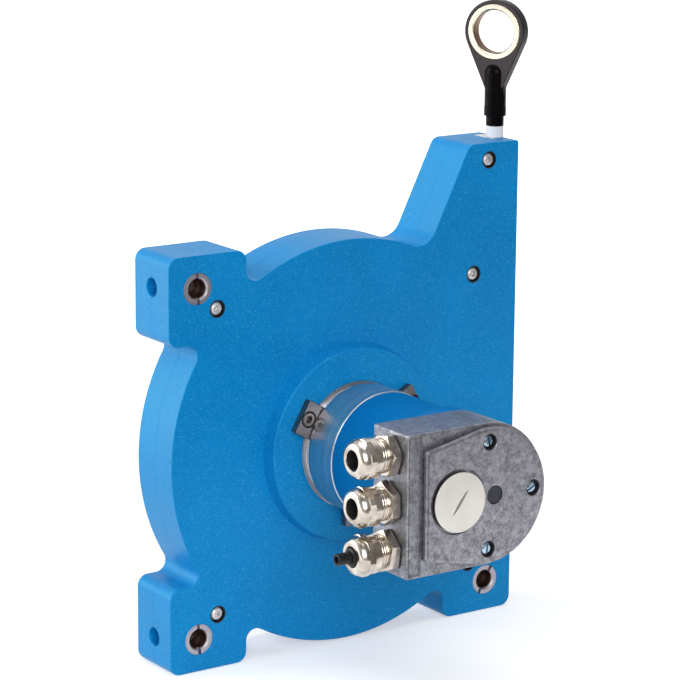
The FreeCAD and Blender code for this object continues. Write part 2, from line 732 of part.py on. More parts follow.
def make_front_shell():
    body = new_body("front_shell")
    parting = size.rear_shell_depth
    add_case_outline(body, parting, size.body_depth - parting)
    pad_circle(body, "Boss", front_depth, size.boss_height, size.boss_radius)
    round_edges(body, "BossEdge", size.boss_edge, edge_in_plane(boss_face))
    cut_circles(
        body, "FrontCavity", parting, cavity_front - parting, cavity_radius, forward=True
    )
    cut_circles(
        body, "FrontSleeveHoles", front_depth, size.body_depth - parting,
        size.sleeve_radius + size.seat_clearance, lug_places,
    )
    cut_circles(
        body, "ScrewSeats", front_depth, size.case_screw_seat_depth,
        size.case_screw_seat_radius, case_screw_places,
    )
    cut_circles(
        body, "FrontScrewHoles", case_screw_seat, case_screw_seat - parting,
        size.case_screw_radius + size.seat_clearance, case_screw_places,
    )
    cut_side_holes(body)
    cut_outline(
        body, "FrontChannel", parting, channel_front - parting, channel_corners, True
    )
    cut_outline(
        body, "FrontGuideSeat", parting,
        guide_front + size.seat_clearance - parting, guide_seat_corners, True,
    )
    cut_circles(
        body, "LipRecess", boss_face, size.servo_lip_width,
        size.servo_lip_radius + size.seat_clearance,
    )
    cut_circles(
        body, "DrumBearingSeat", lip_rear, size.drum_bearing_width,
        size.drum_bearing_radius + size.seat_clearance,
    )
    cut_circles(
        body, "ShaftHole", drum_bearing_seat, drum_bearing_seat - cavity_front,
        shaft_collar_radius + size.drum_gap,
    )
    cut_circles(
        body, "ClampScrewHoles", boss_face, clamp_screw_grip + size.seat_clearance,
        size.clamp_screw_radius + size.seat_clearance, clamp_places,
    )
    return body


def make_mounting_sleeve(label, across, up):
    """Make a threaded sleeve with a driver slot across its front end."""
    start = size.sleeve_recess
    length = size.body_depth - 2 * size.sleeve_recess
    slot_reach = size.sleeve_radius + size.drum_gap
    outer = cylinder(f"{label}Outer", size.sleeve_radius, length, across, start, up)
    bore = cylinder(f"{label}Bore", size.sleeve_bore_radius, length, across, start, up)
    slot = box(
        f"{label}Slot",
        across - size.sleeve_slot_width / 2, across + size.sleeve_slot_width / 2,
        front_depth - size.sleeve_recess - size.sleeve_slot_depth, front_depth,
        up - slot_reach, up + slot_reach,
    )
    return keep(subtract(label, outer, [bore, slot]), label)


def make_housing_screws():
    screws = []
    for number, (across, up) in enumerate(case_screw_places, 1):
        name = f"HousingScrew{number}"
        shank = cylinder(
            f"{name}Shank", size.case_screw_radius, size.case_screw_length,
            across, case_screw_tip, up,
        )
        head = cylinder(
            f"{name}Head", size.case_screw_head_radius, size.case_screw_head_height,
            across, case_screw_seat, up,
        )
        screws.append(fuse(name, [shank, head]))
    return group("housing_screws", screws)


# Wire guide in the tower

wire_channel_margin = wire_across - guide_left
channel_left = guide_left - 2 * size.drum_gap
channel_right = guide_right - size.drum_gap
channel_rear = wire_depth - wire_channel_margin
channel_front = wire_depth + wire_channel_margin
channel_corners = rectangle(channel_left, channel_right, 0, guide_bottom)
guide_seat_corners = rectangle(
    guide_left - size.seat_clearance, guide_right + size.seat_clearance,
    guide_bottom - size.seat_clearance, tower_top + size.seat_clearance,
)


def make_wire_guide():
    block = box(
        "GuideBlock", guide_left, guide_right, guide_rear,
        guide_front, guide_bottom, tower_top,
    )
    passage = cylinder(
        "GuidePassage", size.bush_radius - size.sleeve_recess, bush_bottom - guide_bottom,
        wire_across, wire_depth, guide_bottom, FreeCAD.Rotation(),
    )
    seat = cylinder(
        "GuideBushSeat", size.bush_radius, tower_top - bush_bottom,
        wire_across, wire_depth, bush_bottom, FreeCAD.Rotation(),
    )
    return keep(subtract("wire_guide", block, [passage, seat]), "wire_guide")


def make_guide_bush():
    outer = cylinder(
        "BushOuter", size.bush_radius, size.bush_height,
        wire_across, wire_depth, bush_bottom, FreeCAD.Rotation(),
    )
    bore = cylinder(
        "BushBore", size.bush_bore_radius, size.bush_height,
        wire_across, wire_depth, bush_bottom, FreeCAD.Rotation(),
    )
    return keep(subtract("guide_bush", outer, [bore]), "guide_bush")


# Drum, spring and wire

arbor_spigot_radius = size.arbor_radius - size.arbor_spigot_step
arbor_end_depth = web_rear - size.arbor_gap
arbor_foot_front = cavity_rear + size.arbor_flange_thickness
spring_cover_rear = arbor_foot_front + size.drum_gap / 2
spring_cover_front = spring_cover_rear + size.spring_cover_thickness
rear_bearing_start = arbor_end_depth - size.shaft_end_gap - size.drum_bearing_width
shaft_rear = rear_bearing_start - size.shaft_end_gap
shaft_collar_radius = size.shaft_radius + size.shaft_collar_step
shaft_end_depth = boss_face + size.shaft_reach
shaft_socket = shaft_end_depth - size.shaft_socket_length
hub_screw_circle = (shaft_collar_radius + size.shaft_flange_radius) / 2
hub_screw_radius = size.case_screw_radius
HUB_SCREW_ANGLES = (45, 135, 225, 315)
flange_width = size.drum_flange_width
rim_inner = drum_core_radius - size.drum_rim_thickness
cup_outer = size.spring_cup_radius + size.spring_cup_wall
web_hole_circle = (cup_outer + rim_inner) / 2


def make_wire_drum():
    hole = size.shaft_radius + size.seat_clearance
    body = turned("wire_drum", (
        (web_rear, hole),
        (web_rear, size.spring_cup_radius),
        (spring_cover_front, size.spring_cup_radius),
        (spring_cover_front, cup_outer),
        (web_rear, cup_outer),
        (web_rear, rim_inner),
        (drum_rear, rim_inner),
        (drum_rear, drum_flange_radius),
        (drum_rear + flange_width, drum_flange_radius),
        (drum_rear + flange_width, drum_core_radius),
        (drum_front - flange_width, drum_core_radius),
        (drum_front - flange_width, drum_flange_radius),
        (drum_front, drum_flange_radius),
        (drum_front, rim_inner),
        (web_front, rim_inner),
        (web_front, hole),
    ))
    count = int(size.web_hole_count.value)
    places = [
        place_on_circle(web_hole_circle, FULL_TURN * number / count) for number in range(count)
    ]
    cut_circles(
        body, "WebHoles", web_front, size.web_thickness, size.web_hole_radius, places
    )
    hub_places = [place_on_circle(hub_screw_circle, angle) for angle in HUB_SCREW_ANGLES]
    cut_circles(
        body, "HubHoles", web_front, size.web_thickness,
        hub_screw_radius + size.seat_clearance, hub_places,
    )
    return body


def make_drum_shaft():
    body = turned("drum_shaft", (
        (shaft_rear, 0),
        (shaft_rear, size.shaft_radius),
        (web_front, size.shaft_radius),
        (web_front, size.shaft_flange_radius),
        (shaft_flange_front, size.shaft_flange_radius),
        (shaft_flange_front, shaft_collar_radius),
        (drum_bearing_seat - size.shaft_end_gap, shaft_collar_radius),
        (drum_bearing_seat - size.shaft_end_gap, size.shaft_radius),
        (shaft_end_depth, size.shaft_radius),
        (shaft_end_depth, size.encoder_shaft_radius + size.seat_clearance),
        (shaft_socket, size.encoder_shaft_radius + size.seat_clearance),
        (shaft_socket, 0),
    ))
    hub_places = [place_on_circle(hub_screw_circle, angle) for angle in HUB_SCREW_ANGLES]
    cut_circles(
        body, "FlangeHoles", shaft_flange_front, size.shaft_flange_thickness,
        hub_screw_radius + size.seat_clearance, hub_places,
    )
    return body


def make_hub_screws():
    length = size.shaft_flange_thickness + size.web_thickness
    screws = []
    for number, angle in enumerate(HUB_SCREW_ANGLES, 1):
        across, up = place_on_circle(hub_screw_circle, angle)
        screws.append(
            cylinder(f"HubScrew{number}", hub_screw_radius, length, across, web_rear, up)
        )
    return group("hub_screws", screws)


def make_spring_cover():
    return turned("spring_cover", (
        (spring_cover_rear, size.arbor_radius + size.drum_gap / 2),
        (spring_cover_front, size.arbor_radius + size.drum_gap / 2),
        (spring_cover_front, cup_outer),
        (spring_cover_rear, cup_outer),
    ))


def make_spring_arbor():
    return turned("spring_arbor", (
        (cavity_rear - size.arbor_spigot_length, 0),
        (cavity_rear - size.arbor_spigot_length, arbor_spigot_radius),
        (cavity_rear, arbor_spigot_radius),
        (cavity_rear, size.arbor_flange_radius),
        (arbor_foot_front, size.arbor_flange_radius),
        (arbor_foot_front, size.arbor_radius),
        (arbor_end_depth, size.arbor_radius),
        (arbor_end_depth, size.drum_bearing_radius + size.seat_clearance),
        (rear_bearing_start, size.drum_bearing_radius + size.seat_clearance),
        (rear_bearing_start, size.drum_bearing_radius - size.bearing_shoulder),
        (shaft_rear - size.shaft_end_gap, size.drum_bearing_radius - size.bearing_shoulder),
        (shaft_rear - size.shaft_end_gap, 0),
    ))


def make_bearing(label, start, width, bore, outer):
    return turned(label, (
        (start, bore + size.running_clearance),
        (start + width, bore + size.running_clearance),
        (start + width, outer),
        (start, outer),
    ))


def make_spiral_spring():
    """Wind the spring strip from half turns whose centres lie a quarter pitch off the axis."""
    turns = int(size.spring_turns.value)
    thickness = size.spring_thickness.value
    inner = size.arbor_radius.value + size.seat_clearance.value + thickness / 2
    outer = size.spring_cup_radius.value - size.drum_gap.value - thickness / 2
    pitch = (outer - inner) / turns
    edges = []
    for offset in (-thickness / 2, thickness / 2):
        side = []
        for half in range(2 * turns):
            centre = pitch / 4 * (1 if half % 2 else -1)
            radius = inner + pitch / 4 + pitch / 2 * half + offset
            sign = -1 if half % 2 else 1
            start = FreeCAD.Vector(centre + sign * radius, 0, 0)
            middle = FreeCAD.Vector(centre, 0, sign * radius)
            end = FreeCAD.Vector(centre - sign * radius, 0, 0)
            side.append(Part.Arc(start, middle, end).toShape())
        edges.append(side)
    near, far = edges
    first = Part.makeLine(near[0].firstVertex().Point, far[0].firstVertex().Point)
    last = Part.makeLine(near[-1].lastVertex().Point, far[-1].lastVertex().Point)
    outline = Part.Wire(Part.__sortEdges__([*near, *far, first, last]))
    depth = spring_cover_front + size.spring_gap
    length = web_rear - size.spring_gap - depth
    strip = Part.Face(outline).extrude(FreeCAD.Vector(0, -length.value, 0))
    item = document.addObject("Part::Feature", "spiral_spring")
    item.Shape = strip
    place(item, 0, depth, 0, FreeCAD.Rotation())
    return keep(item, "spiral_spring")


def make_wound_wire():
    return turned("wound_wire", (
        (drum_rear + flange_width, drum_core_radius),
        (drum_front - flange_width, drum_core_radius),
        (drum_front - flange_width, winding_radius),
        (drum_rear + flange_width, winding_radius),
    ))


def make_wire_lead():
    """Lay the wire from the point where it leaves the drum up to the guide bush."""
    radius = winding_radius + size.wire_radius + size.seat_clearance
    reach = root(wire_across * wire_across + bush_bottom * bush_bottom)
    lean = arc_cosine(radius / reach) - arc_tangent(bush_bottom, wire_across)
    length = root(reach * reach - radius * radius) - size.seat_clearance
    item = cylinder(
        "wire_lead", size.wire_radius, length,
        radius * cosine(lean), wire_depth, -radius * sine(lean), FreeCAD.Rotation(),
    )
    turn_by(item, FreeCAD.Vector(0, 1, 0), lean)
    return keep(item, "wire_lead")


def make_wire_run():
    item = cylinder(
        "wire_run", size.wire_radius, ferrule_bore_top - bush_bottom,
        wire_across, wire_depth, bush_bottom, FreeCAD.Rotation(),
    )
    return keep(item, "wire_run")


# Wire end with its swivel eye

ferrule_bore = size.wire_radius + size.seat_clearance
ferrule_bore_top = ferrule_top - size.ferrule_cap
swivel_neck_radius = size.ferrule_radius - size.ferrule_neck_step
stem_bottom = ferrule_bottom + size.ferrule_show
stem_top = stem_bottom + size.stem_length
eye_neck_height = stem_bottom + size.eye_neck_reach
eye_height = stem_bottom + size.eye_reach
ferrule_shoulder = stem_bottom - size.swivel_clearance
stem_chamber = stem_bottom + size.stem_lip
stem_chamber_top = ferrule_top + 2 * size.swivel_clearance
eye_half = size.eye_thickness / 2


def make_bumper():
    return turned("bumper", (
        (bumper_bottom, ferrule_bore),
        (ferrule_bottom, ferrule_bore),
        (ferrule_bottom, size.bumper_radius),
        (bumper_bottom, size.bumper_radius),
    ), wire_across, wire_depth, 0, axis="Z")


def make_ferrule():
    """Make the wire end with the head that the stem of the eye turns on."""
    body = turned("ferrule", (
        (ferrule_bottom, ferrule_bore),
        (ferrule_bottom, size.ferrule_radius),
        (ferrule_shoulder - size.swivel_clearance, size.ferrule_radius),
        (ferrule_shoulder - size.swivel_clearance, swivel_neck_radius),
        (stem_chamber + size.swivel_clearance, swivel_neck_radius),
        (stem_chamber + size.swivel_clearance, size.ferrule_radius),
        (ferrule_top, size.ferrule_radius),
        (ferrule_top, 0),
        (ferrule_bore_top, 0),
        (ferrule_bore_top, ferrule_bore),
    ), wire_across, wire_depth, 0, axis="Z")
    return body


def make_eye():
    """Make the eye: a turned stem, and a flat head that tapers down to it."""
    chamber_radius = size.ferrule_radius + size.swivel_clearance
    body = turned("eye_head", (
        (stem_bottom, swivel_neck_radius + size.swivel_clearance),
        (stem_bottom, size.stem_radius),
        (stem_top, size.stem_radius),
        (stem_top, 0),
        (stem_chamber_top, 0),
        (stem_chamber_top, chamber_radius),
        (stem_chamber, chamber_radius),
        (stem_chamber, swivel_neck_radius + size.swivel_clearance),
    ), wire_across, wire_depth, 0, axis="Z")
    top = stem_top.value
    round_edges(
        body, "StemDome", size.stem_radius - size.swivel_clearance,
        lambda edge: edge.BoundBox.ZMin > top - NEAR and edge.Length > size.stem_radius.value,
    )
    neck_half = size.stem_radius - size.eye_neck_inset
    drop = eye_height - eye_neck_height
    reach = root(drop * drop + neck_half * neck_half)
    spread = arc_cosine(size.eye_radius / reach) - arc_tangent(drop, neck_half)
    across = size.eye_radius * cosine(spread)
    up = eye_height + size.eye_radius * sine(spread)
    pad_circle(body, "EyeRound", -eye_half, size.eye_thickness, size.eye_radius, 0, eye_height)
    pad_outline(body, "EyeTaper", -eye_half, size.eye_thickness, (
        (-neck_half, eye_neck_height),
        (neck_half, eye_neck_height),
        (across, up),
        (-across, up),
    ))
    cut_circles(
        body, "EyeSeat", eye_half, size.eye_thickness, size.eye_bush_radius,
        [(0, eye_height)],
    )
    turn_by(body, FreeCAD.Vector(0, 0, -1), -size.eye_turn)
    return body


def make_eye_bush():
    reach = eye_half + size.eye_bush_proud
    bevel = size.eye_bush_bevel
    body = turned("eye_bush", (
        (-reach, size.eye_bore_radius + bevel),
        (-reach, size.eye_bush_radius),
        (reach, size.eye_bush_radius),
        (reach, size.eye_bore_radius + bevel),
        (reach - bevel, size.eye_bore_radius),
        (-reach + bevel, size.eye_bore_radius),
    ), wire_across, wire_depth, eye_height)
    turn_by(body, FreeCAD.Vector(0, 0, -1), -size.eye_turn)
    return body


# Encoder

clamp_circle = size.servo_lip_radius + size.clamp_screw_offset
clamp_outer = size.servo_lip_radius + size.clamp_reach
clamp_places = [place_on_circle(clamp_circle, angle) for angle in CLAMP_ANGLES]
clamp_screw_seat = boss_face + size.clamp_thickness - size.clamp_screw_seat_depth
clamp_screw_grip = size.clamp_screw_length - (clamp_screw_seat - boss_face)
rear_encoder_bearing = groove_front
front_encoder_bearing = flange_front - size.encoder_bearing_width
flange_spigot_front = flange_front + size.encoder_bearing_width
board_radius = tube_inner - size.board_clearance
spacer_circle = board_radius - size.spacer_inset
disc_radius = spacer_circle - size.spacer_radius - size.disc_margin
sensor_board_depth = flange_spigot_front + size.sensor_spacer_length
main_board_depth = sensor_board_depth + size.board_thickness + size.main_spacer_length
code_disc_rear = sensor_board_depth - size.disc_board_gap - size.disc_thickness


def make_encoder_flange():
    seat = size.encoder_bearing_radius + size.seat_clearance
    shoulder = size.encoder_bearing_radius - size.bearing_shoulder
    chamfer = size.flange_chamfer
    return turned("encoder_flange", (
        (lip_rear, seat),
        (lip_rear, size.servo_lip_radius),
        (boss_face, size.servo_lip_radius),
        (boss_face, size.servo_groove_radius),
        (groove_front, size.servo_groove_radius),
        (groove_front, size.servo_lip_radius - chamfer),
        (groove_front + chamfer, size.servo_lip_radius),
        (flange_front - chamfer, size.servo_lip_radius),
        (flange_front, size.servo_lip_radius - chamfer),
        (flange_front, tube_inner - size.seat_clearance),
        (flange_spigot_front, tube_inner - size.seat_clearance),
        (flange_spigot_front, seat),
        (front_encoder_bearing, seat),
        (front_encoder_bearing, shoulder),
        (rear_encoder_bearing + size.encoder_bearing_width, shoulder),
        (rear_encoder_bearing + size.encoder_bearing_width, seat),
    ))


def make_encoder_sleeve():
    return turned("encoder_sleeve", (
        (flange_front, tube_inner),
        (flange_front, tube_radius),
        (collar_rear, tube_radius),
        (collar_rear, collar_radius),
        (adapter_rear, collar_radius),
        (adapter_rear, tube_inner),
    ))


def make_encoder_shaft():
    hub = size.disc_hub_radius
    hub_rear = code_disc_rear - size.disc_hub_width
    return turned("encoder_shaft", (
        (shaft_socket + size.shaft_end_gap, 0),
        (shaft_socket + size.shaft_end_gap, size.encoder_shaft_radius),
        (hub_rear, size.encoder_shaft_radius),
        (hub_rear, hub),
        (code_disc_rear, hub),
        (code_disc_rear, 0),
    ))


def make_code_disc():
    return keep(
        cylinder("code_disc", disc_radius, size.disc_thickness, 0, code_disc_rear),
        "code_disc",
    )


def make_board(label, depth):
    return keep(
        cylinder(label, board_radius, size.board_thickness, 0, depth), label
    )


def make_spacers():
    """Make the spacers that carry the two round boards on the flange's spigot."""
    gap_starts = (flange_spigot_front, sensor_board_depth + size.board_thickness)
    gap_ends = (sensor_board_depth, main_board_depth)
    spacers = []
    for angle in SPACER_ANGLES:
        across, up = place_on_circle(spacer_circle, angle)
        for start, end in zip(gap_starts, gap_ends):
            name = f"Spacer{len(spacers) + 1}"
            spacers.append(
                cylinder(name, size.spacer_radius, end - start, across, start, up)
            )
    return group("board_spacers", spacers)


def make_servo_clamp(label, angle):
    """Make a clamp block with a curved inner edge and a counterbored screw hole."""
    half = size.clamp_width / 2
    inner = size.servo_lip_radius - size.clamp_overlap
    body = new_body(label)
    pad_outline(body, f"{label}Block", boss_face, size.clamp_thickness, rectangle(
        -half, half, inner - size.clamp_thickness, clamp_outer
    ))
    cut_circles(
        body, f"{label}Curve", boss_face + size.clamp_thickness, size.clamp_thickness, inner
    )
    cut_circles(
        body, f"{label}Hole", boss_face + size.clamp_thickness, size.clamp_thickness,
        size.clamp_screw_radius + size.seat_clearance, [(0, clamp_circle)],
    )
    cut_circles(
        body, f"{label}Seat", boss_face + size.clamp_thickness, size.clamp_screw_seat_depth,
        size.clamp_screw_seat_radius, [(0, clamp_circle)],
    )
    turn = FreeCAD.Rotation(FreeCAD.Vector(0, -1, 0), angle - 90)
    place(body, 0, 0, 0, turn)
    return body


def make_clamp_screws():
    screws = []
    for number, (across, up) in enumerate(clamp_places, 1):
        name = f"ClampScrew{number}"
        shank = cylinder(
            f"{name}Shank", size.clamp_screw_radius, size.clamp_screw_length,
            across, clamp_screw_seat - size.clamp_screw_length, up,
        )
        head = cylinder(
            f"{name}Head", size.clamp_screw_head_radius, size.clamp_screw_head_height,
            across, clamp_screw_seat, up,
        )
        screws.append(fuse(name, [shank, head]))
    return group("clamp_screws", screws)


# Cable adapter and its cap

adapter_floor = adapter_rear + size.adapter_wall
adapter_inner = size.adapter_radius - size.adapter_wall
chamber_left = size.adapter_left - size.gland_wall
cap_tilt = arc_tangent(size.cap_half_height, cap_left)
cap_reach = root(
    cap_left * cap_left + size.cap_half_height * size.cap_half_height
)
cap_lean = 180 - cap_tilt - arc_cosine(cap_radius / cap_reach)
cap_seat_floor = cap_front - size.cap_screw_seat_depth
post_top = cap_rear - size.cap_spigot - size.seat_clearance
cap_screw_circle = cap_radius - size.cap_screw_inset
cap_post_radius = adapter_inner - cap_screw_circle - size.seat_clearance
plug_thread_radius = size.plug_radius - size.plug_overlap
cap_screw_places = [place_on_circle(cap_screw_circle, angle) for angle in CAP_SCREW_ANGLES]
plug_seat_floor = cap_front - size.plug_seat_depth
plug_head_rear = plug_seat_floor + size.plug_ring_height
plug_place = [(-size.plug_across, 0)]
lens_rear = cap_front - size.lens_recess - size.lens_thickness
gland_heights = (size.gland_pitch, 0, -size.gland_pitch)


def cap_outline(inset):
    """Give the radius and the straight part of the cap's outline at a distance inside it."""
    radius = cap_radius - inset
    left = cap_left - inset
    height = (radius + left * cosine(cap_lean)) / sine(cap_lean)
    across = radius * cosine(cap_lean)
    up = radius * sine(cap_lean)
    return radius, ((-left, -height), (across, -up), (across, up), (-left, height))


def pad_cap_outline(body, name, depth, length, inset):
    radius, corners = cap_outline(inset)
    pad_circle(body, f"{name}Round", depth, length, radius)
    pad_outline(body, f"{name}Side", depth, length, corners)


def cut_cap_outline(body, name, depth, length, inset):
    radius, corners = cap_outline(inset)
    cut_circles(body, f"{name}Round", depth, length, radius)
    cut_outline(body, f"{name}Side", depth, length, corners)


def make_adapter_block():
    body = new_body("adapter_block")
    half = size.adapter_radius
    inner = adapter_inner
    spigot = tube_inner - size.seat_clearance
    spigot_length = size.collar_length - size.adapter_spigot_gap
    pad_circle(body, "AdapterRound", adapter_rear, size.adapter_length, half)
    pad_outline(
        body, "AdapterSide", adapter_rear, size.adapter_length,
        rectangle(-size.adapter_left, 0, -half, half),
    )
    pad_circle(body, "AdapterSpigot", adapter_rear - spigot_length, spigot_length, spigot)
    cut_cap_outline(
        body, "AdapterMouth", adapter_front, size.cap_spigot + size.mouth_gap,
        size.gasket_inset + size.gasket_width,
    )
    room = adapter_front - size.cap_spigot - size.mouth_gap
    cut_circles(body, "ChamberRound", room, room - adapter_floor, inner)
    cut_outline(
        body, "ChamberSide", room, room - adapter_floor,
        rectangle(-chamber_left, 0, -inner, inner),
    )
    cut_circles(
        body, "CableWay", adapter_floor, size.adapter_wall + spigot_length,
        spigot - size.adapter_wall,
    )
    for number, up in enumerate(gland_heights, 1):
        sketch = new_sketch(body, f"GlandHole{number}", SIDE_PLANE, -size.adapter_left)
        draw_circle(sketch, -gland_depth, up, size.gland_thread_radius + size.seat_clearance)
        pocket(body, sketch, size.gland_wall, True)
    cut_outline(
        body, "BareStrip", adapter_front, size.strip_recess,
        rectangle(
            size.strip_margin - size.adapter_left, -cap_left - size.strip_gap,
            -half - size.mouth_gap, half + size.mouth_gap,
        ),
    )
    return body


def make_cap_posts():
    """Make the posts that the cap screws run into."""
    posts = []
    for number, (across, up) in enumerate(cap_screw_places, 1):
        name = f"CapPost{number}"
        outer = cylinder(
            f"{name}Outer", cap_post_radius, post_top - adapter_floor,
            across, adapter_floor, up,
        )
        bore = cylinder(
            f"{name}Bore", size.cap_screw_radius + size.seat_clearance,
            post_top - adapter_floor, across, adapter_floor, up,
        )
        posts.append(subtract(name, outer, [bore]))
    return group("cap_posts", posts)


def make_cap_gasket():
    body = new_body("cap_gasket")
    pad_cap_outline(body, "Gasket", adapter_front, size.gasket_thickness, size.gasket_inset)
    cut_cap_outline(
        body, "GasketOpening", cap_rear, size.gasket_thickness,
        size.gasket_inset + size.gasket_width,
    )
    return body


def make_adapter_cap():
    body = new_body("adapter_cap")
    pad_cap_outline(body, "Cap", cap_rear, size.cap_thickness, 0)
    pad_cap_outline(
        body, "CapStep", cap_rear - size.cap_spigot, size.cap_spigot, size.cap_spigot_inset
    )
    cut_circles(
        body, "CapScrewSeats", cap_front, size.cap_screw_seat_depth,
        size.cap_screw_seat_radius, cap_screw_places,
    )
    cut_circles(
        body, "CapScrewHoles", cap_seat_floor, cap_seat_floor - cap_rear + size.cap_spigot,
        size.cap_screw_radius + size.seat_clearance, cap_screw_places,
    )
    cut_circles(
        body, "PlugSeat", cap_front, size.plug_seat_depth,
        size.plug_radius + size.plug_seat_gap, plug_place,
    )
    cut_circles(
        body, "PlugHole", plug_seat_floor, plug_seat_floor - cap_rear + size.cap_spigot,
        plug_thread_radius + size.seat_clearance, plug_place,
    )
    cut_circles(
        body, "LensSeat", cap_front, size.lens_recess + size.lens_thickness,
        size.lens_radius + size.seat_clearance, [(size.lens_across, 0)],
    )
    cut_circles(
        body, "LensHole", lens_rear, lens_rear - cap_rear + size.cap_spigot,
        size.lens_radius - size.lens_ledge, [(size.lens_across, 0)],
    )
    return body


def make_lens():
    item = cylinder(
        "status_lens", size.lens_radius, size.lens_thickness, size.lens_across, lens_rear
    )
    return keep(item, "status_lens")


def make_cap_screws():
    screws = []
    for number, (across, up) in enumerate(cap_screw_places, 1):
        name = f"CapScrew{number}"
        shank = cylinder(
            f"{name}Shank", size.cap_screw_radius, size.cap_screw_length,
            across, cap_seat_floor - size.cap_screw_length, up,
        )
        head = cylinder(
            f"{name}Head", size.cap_screw_head_radius, size.cap_screw_head_height,
            across, cap_seat_floor, up,
        )
        screws.append(fuse(name, [shank, head]))
    return group("cap_screws", screws)


def make_access_plug():
    """Make the screw plug with a rounded slot across its head."""
    thread_length = plug_seat_floor - cap_rear + size.cap_spigot
    body = new_body("access_plug")
    pad_circle(body, "PlugThread", -thread_length, thread_length + size.plug_ring_height,
               plug_thread_radius)
    pad_circle(
        body, "PlugHead", size.plug_ring_height, size.plug_head_height, size.plug_radius
    )
    top = size.plug_ring_height + size.plug_head_height
    half = size.plug_slot_length / 2
    cut_outline(body, "PlugSlot", top, size.plug_slot_depth, (
        (-half, 0),
        (0, -size.plug_slot_width / 2),
        (half, 0),
        (0, size.plug_slot_width / 2),
    ))
    place(body, -size.plug_across, plug_seat_floor, 0, FreeCAD.Rotation())
    turn_by(body, FreeCAD.Vector(0, -1, 0), size.plug_slot_angle)
    return body


def make_plug_ring():
    start = plug_seat_floor
    inner = plug_thread_radius + size.seat_clearance
    return turned("plug_ring", (
        (start, inner),
        (start + size.plug_ring_height, inner),
        (start + size.plug_ring_height, inner + size.plug_ring_width),
        (start, inner + size.plug_ring_width),
    ), -size.plug_across)


# Cable glands

gland_seat_radius = size.gland_seal_radius + size.seat_clearance
gland_bore_radius = size.gland_nut_hole_radius + size.seat_clearance
gland_seal_start = gland_neck_end - size.gland_seal_length / 2
gland_dome_reach = size.gland_flats / 2 / cosine(HEXAGON_HALF_ANGLE)
gland_dome_centre = (
    size.gland_nut_dome * size.gland_nut_dome
    + gland_dome_reach * gland_dome_reach
    - size.gland_nut_face_radius * size.gland_nut_face_radius
) / (2 * size.gland_nut_dome)
gland_dome_radius = root(
    gland_dome_centre * gland_dome_centre
    + size.gland_nut_face_radius * size.gland_nut_face_radius
)


def gland_piece(name, radius, start, end, up):
    """Make a cylinder along a gland's axis between two distances left of the drum axis."""
    return cylinder(name, radius, end - start, -start, gland_depth, up, TURN_TO_LEFT)


def make_gland_body(number, up):
    label = f"gland_body_{number}"
    shell = fuse(f"{label}Solid", [
        gland_piece(f"{label}Thread", size.gland_thread_radius, chamber_left, gland_hex_start, up),
        hexagon(
            f"{label}Hexagon", size.gland_flats, size.gland_hex_height,
            -gland_hex_start, gland_depth, up, TURN_TO_LEFT,
        ),
        gland_piece(f"{label}Neck", size.gland_neck_radius, gland_neck_start, gland_neck_end, up),
    ])
    return keep(subtract(label, shell, [
        gland_piece(f"{label}Bore", gland_bore_radius, chamber_left, gland_neck_end, up),
        gland_piece(f"{label}Seat", gland_seat_radius, gland_seal_start, gland_neck_end, up),
    ]), label)


def make_gland_nut(number, up):
    """Make a cap nut: a hexagon with a domed end, bored to run on the neck."""
    label = f"gland_nut_{number}"
    ball = document.addObject("Part::Sphere", f"{label}Dome")
    bind(ball, "Radius", gland_dome_radius)
    place(ball, -gland_nut_end + gland_dome_centre, gland_depth, up, TURN_TO_LEFT)
    turned_corners = gland_piece(
        f"{label}Round", size.gland_nut_radius, gland_nut_start, gland_nut_end, up
    )
    outside = document.addObject("Part::MultiCommon", f"{label}Outside")
    outside.Shapes = [
        hexagon(
            f"{label}Hexagon", size.gland_flats, size.gland_nut_length,
            -gland_nut_start, gland_depth, up, TURN_TO_LEFT,
        ),
        ball,
        turned_corners,
    ]
    neck_room = gland_neck_end + size.gland_room_gap
    seal_end = gland_seal_start + size.gland_seal_length + size.gland_room_gap
    return keep(subtract(label, outside, [
        gland_piece(
            f"{label}Thread", size.gland_neck_radius + size.gland_nut_clearance,
            gland_nut_start, neck_room, up,
        ),
        gland_piece(
            f"{label}Room", size.gland_seal_radius + size.gland_room_gap,
            neck_room, seal_end, up,
        ),
        gland_piece(f"{label}Hole", size.gland_nut_hole_radius, seal_end, gland_nut_end, up),
    ]), label)


def make_gland_seal(number, up):
    label = f"gland_seal_{number}"
    end = gland_seal_start + size.gland_seal_length
    bore = size.gland_nut_hole_radius if number < len(gland_heights) else size.pin_radius
    outer = gland_piece(f"{label}Outer", size.gland_seal_radius, gland_seal_start, end, up)
    inner = gland_piece(f"{label}Bore", bore, gland_seal_start, end, up)
    return keep(subtract(label, outer, [inner]), label)


def make_gland_rings():
    rings = []
    for number, up in enumerate(gland_heights, 1):
        inner_radius = size.gland_thread_radius + size.seat_clearance
        outer = gland_piece(
            f"GlandRing{number}Outer", inner_radius + size.gland_ring_width,
            size.adapter_left, gland_hex_start, up,
        )
        inner = gland_piece(
            f"GlandRing{number}Bore", inner_radius, size.adapter_left, gland_hex_start, up
        )
        rings.append(subtract(f"GlandRing{number}", outer, [inner]))
    return group("gland_rings", rings)


def make_blanking_pin():
    """Make the stub that closes the lowest gland, with a small hole in its end."""
    up = gland_heights[-1]
    end = gland_nut_end + size.pin_reach
    stub = gland_piece("PinStub", size.pin_radius, gland_seal_start, end, up)
    hole = gland_piece("PinHole", size.pin_hole_radius, end - size.pin_hole_depth, end, up)
    return keep(subtract("blanking_pin", stub, [hole]), "blanking_pin")


# Assembly

